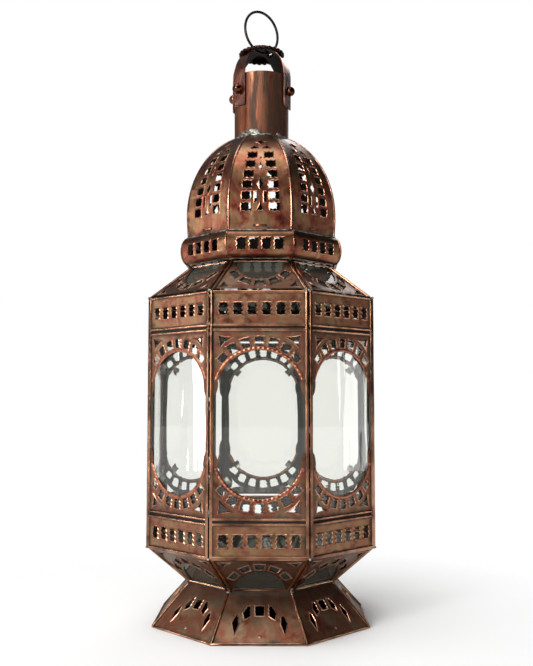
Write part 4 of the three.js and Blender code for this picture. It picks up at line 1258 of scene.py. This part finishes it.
def hinge():
    """The hinge's barrels round its wire, on the door and on the fixed bands."""
    low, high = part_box("hinge_wire")
    middle = (low + high) / 2 / MM
    half_way = (WINDOW_FOOT + WINDOW_TOP) / 2
    spans = [("lantern", WINDOW_FOOT - 7, WINDOW_FOOT - KNUCKLE_GAP),
             ("lantern", WINDOW_TOP + KNUCKLE_GAP, WINDOW_TOP + 7),
             ("door", WINDOW_FOOT + 6, WINDOW_FOOT + 6 + KNUCKLE),
             ("door", WINDOW_TOP - 6 - KNUCKLE, WINDOW_TOP - 6),
             ("door", half_way - KNUCKLE / 2, half_way + KNUCKLE / 2)]
    for i, (body, foot, head) in enumerate(spans):
        profile = [(1.3, foot), (2.0, foot), (2.15, foot + 0.3), (2.15, head - 0.3), (2.0, head),
                   (1.3, head)]
        barrel = part(spun(profile, 28), Matrix.Translation((middle.x, middle.y, 0)), BEAD)
        dress("hinge_barrel_" + str(i + 1), [barrel], body=body)


def catch():
    """The turn catch: a tapered tongue of sheet on a headed post."""
    low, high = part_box("turn_catch")
    stand = turn(DOOR) @ on_side(BODY_APOTHEM, (low.z + high.z) / 2 / MM)
    stand = stand @ Matrix.Translation((CATCH_X, 0, 0))
    outline = arc(3, 3, 0, math.pi, 10) + [(-13, -3), (-15, -1.8), (-15, 1.8), (-13, 3)]
    hole = arc(1.6, 1.6, math.tau, 0, 16)[:-1]
    tongue = pierced(outline[::-1], [hole], 1, NO_LIP)
    tongue = part(tongue, stand @ Matrix.Translation((0, 0, 1.4)), BODY_SHEET, BODY_SHEET)
    dress("catch_tongue", [tongue], ["turn_catch"], "catch")
    profile = [(0, -1.5), (1.2, -1.5), (1.2, 1.7), (2.6, 1.7), (2.4, 2.3), (1.4, 2.65), (0, 2.7)]
    dress("catch_post", [part(spun(profile, 28, closed=False), stand, BEAD)])


def cad_materials():
    """Panes, floor and hinge wire are right as the frame has them, and only get their materials."""
    given = {"taper_glass": DUSTY_SHADED_GLASS, "roof_glass": DUSTY_SHADED_GLASS, "floor_plate": TIN,
             "hinge_wire": IRON, "door_glass": CLEAR_GLASS}
    for k, side in enumerate(SIDES):
        if k != DOOR:
            given["window_glass_" + side] = CLEAR_GLASS
    for name, material in given.items():
        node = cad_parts[name]
        node.data.materials.clear()
        node.data.materials.append(material)


# Studio

# Name, place, size and power of each panel of light
PANELS = [
    ("key", (-1.25, -1.7, 1.15), (0.5, 0.8), 32),
    ("front", (-0.85, -2.15, 0.9), (0.5, 0.7), 17),
    ("strip_left", (-1.9, 0.05, 0.6), (0.06, 1.8), 8),
    ("strip_front_left", (-1.25, -1.3, 0.4), (0.07, 1.8), 8),
    ("strip_right", (1.9, 0.1, 0.6), (0.08, 1.8), 1.8),
    ("back_light", (0.6, 2.2, 1.6), (1.4, 1.4), 26),
    ("top", (-0.35, -0.45, 2.4), (1.2, 1.2), 22),
]
LIT_MIDDLE = Vector((0, 0, 0.33))

# Distances from the axis in metres: where the painted shade under the foot ends, and where the paper
# glows white
PAINTED_SHADE = (0.095, 0.108)
NEAR_GLOW = (0.118, 0.15)
FAR_GLOW = (0.15, 0.42)


def paper_floor():
    """Pale paper that glows white away from the lantern, and is painted dark as shade under its foot.
    """
    bm = bmesh.new()
    bmesh.ops.create_circle(bm, cap_ends=True, segments=96, radius=6)
    mesh = bpy.data.meshes.new("floor")
    bm.to_mesh(mesh)
    bm.free()
    material, tree, shader = blank("pale paper")
    place = add(tree, "TexCoord", output="Object")
    away = add(tree, "VectorMath", {0: place}, "Value", operation="LENGTH")
    steps = []
    for (start, end), top in ((NEAR_GLOW, 0.3), (FAR_GLOW, 0.7), (PAINTED_SHADE, 1)):
        steps.append(add(tree, "MapRange", {"Value": away, "From Min": start, "From Max": end,
                                            "To Max": top}))
    near, far, under = steps
    lit = add(tree, "Math", {0: near, 1: far})
    # Under the foot the paper is painted near black, as shade.
    paper = add(tree, "MixRGB", {"Fac": under, "Color1": linear("#1c1a18"),
                                 "Color2": linear("#f0f0ef")})
    paper = add(tree, "MixRGB", {"Fac": lit, "Color1": paper, "Color2": linear("#000000")})
    feed(tree, shader, {"Roughness": 0.8, "Specular IOR Level": 0, "Base Color": paper,
                        "Emission Strength": lit, "Emission Color": linear("#ffffff")})
    mesh.materials.append(material)
    floor = bpy.data.objects.new("floor", mesh)
    scene.collection.objects.link(floor)


def studio():
    """A pale floor, and soft light from a few large panels and a dim sky that is white to look at."""
    paper_floor()
    for name, spot, size, power in PANELS:
        light = bpy.data.lights.new(name, "AREA")
        light.shape = "RECTANGLE"
        light.size, light.size_y = size
        light.energy = power
        lamp = bpy.data.objects.new(name, light)
        lamp.location = spot
        lamp.rotation_euler = (LIT_MIDDLE - Vector(spot)).to_track_quat("-Z", "Y").to_euler()
        lamp.visible_camera = False
        lamp.visible_transmission = False
        scene.collection.objects.link(lamp)
    world = bpy.data.worlds.new("studio")
    world.use_nodes = True
    scene.world = world
    tree = world.node_tree
    rays = add(tree, "LightPath", output=None)
    seen = add(tree, "Math", {0: rays["Is Camera Ray"], 1: rays["Is Transmission Ray"]},
               operation="MAXIMUM")
    place = add(tree, "TexCoord", output="Generated")
    heading = add(tree, "SeparateXYZ", {"Vector": place}, output=None)
    sky = add(tree, "ValToRGB", {"Fac": heading[2]},
              stops=[(0, "#3a3836"), (0.5, "#8a8a8a"), (1, "#ffffff")])
    shade = add(tree, "MapRange", {"Value": heading[0], "From Min": -0.5, "From Max": 0.8,
                                   "To Min": 0.42, "To Max": 0.05})
    dim = add(tree, "Background", {"Color": sky, "Strength": shade})
    white = add(tree, "Background", {"Color": linear("#ffffff"), "Strength": 1.0})
    both = add(tree, "MixShader", {0: seen, 1: dim, 2: white})
    tree.links.new(both, tree.nodes["World Output"].inputs["Surface"])
    scene.view_settings.view_transform = "Standard"


def camera():
    made = bpy.data.cameras.new("camera")
    made.lens = CAMERA_LENS
    made.sensor_width = 36
    made.sensor_fit = "AUTO"
    eye = bpy.data.objects.new("camera", made)
    heading = math.atan2(CAMERA_AT.x, -CAMERA_AT.y) - CAMERA_YAW
    eye.location = CAMERA_AT
    eye.rotation_euler = (math.pi / 2 + CAMERA_PITCH, 0, heading)
    scene.collection.objects.link(eye)
    scene.camera = eye


camera()
studio()
walls()
sloping_tier("taper", WAIST_APOTHEM, BODY_APOTHEM, WAIST, BODY_FOOT, False)
sloping_tier("roof", SHOULDER_APOTHEM, BODY_APOTHEM, ROOF_FOOT, COLLAR_FOOT - 0.3, True)
foot()
collar()
dome()
solder()
flue()
straps()
rivets()
rosette()
hanging_ring()
candle_cup()
hinge()
catch()
cad_materials()
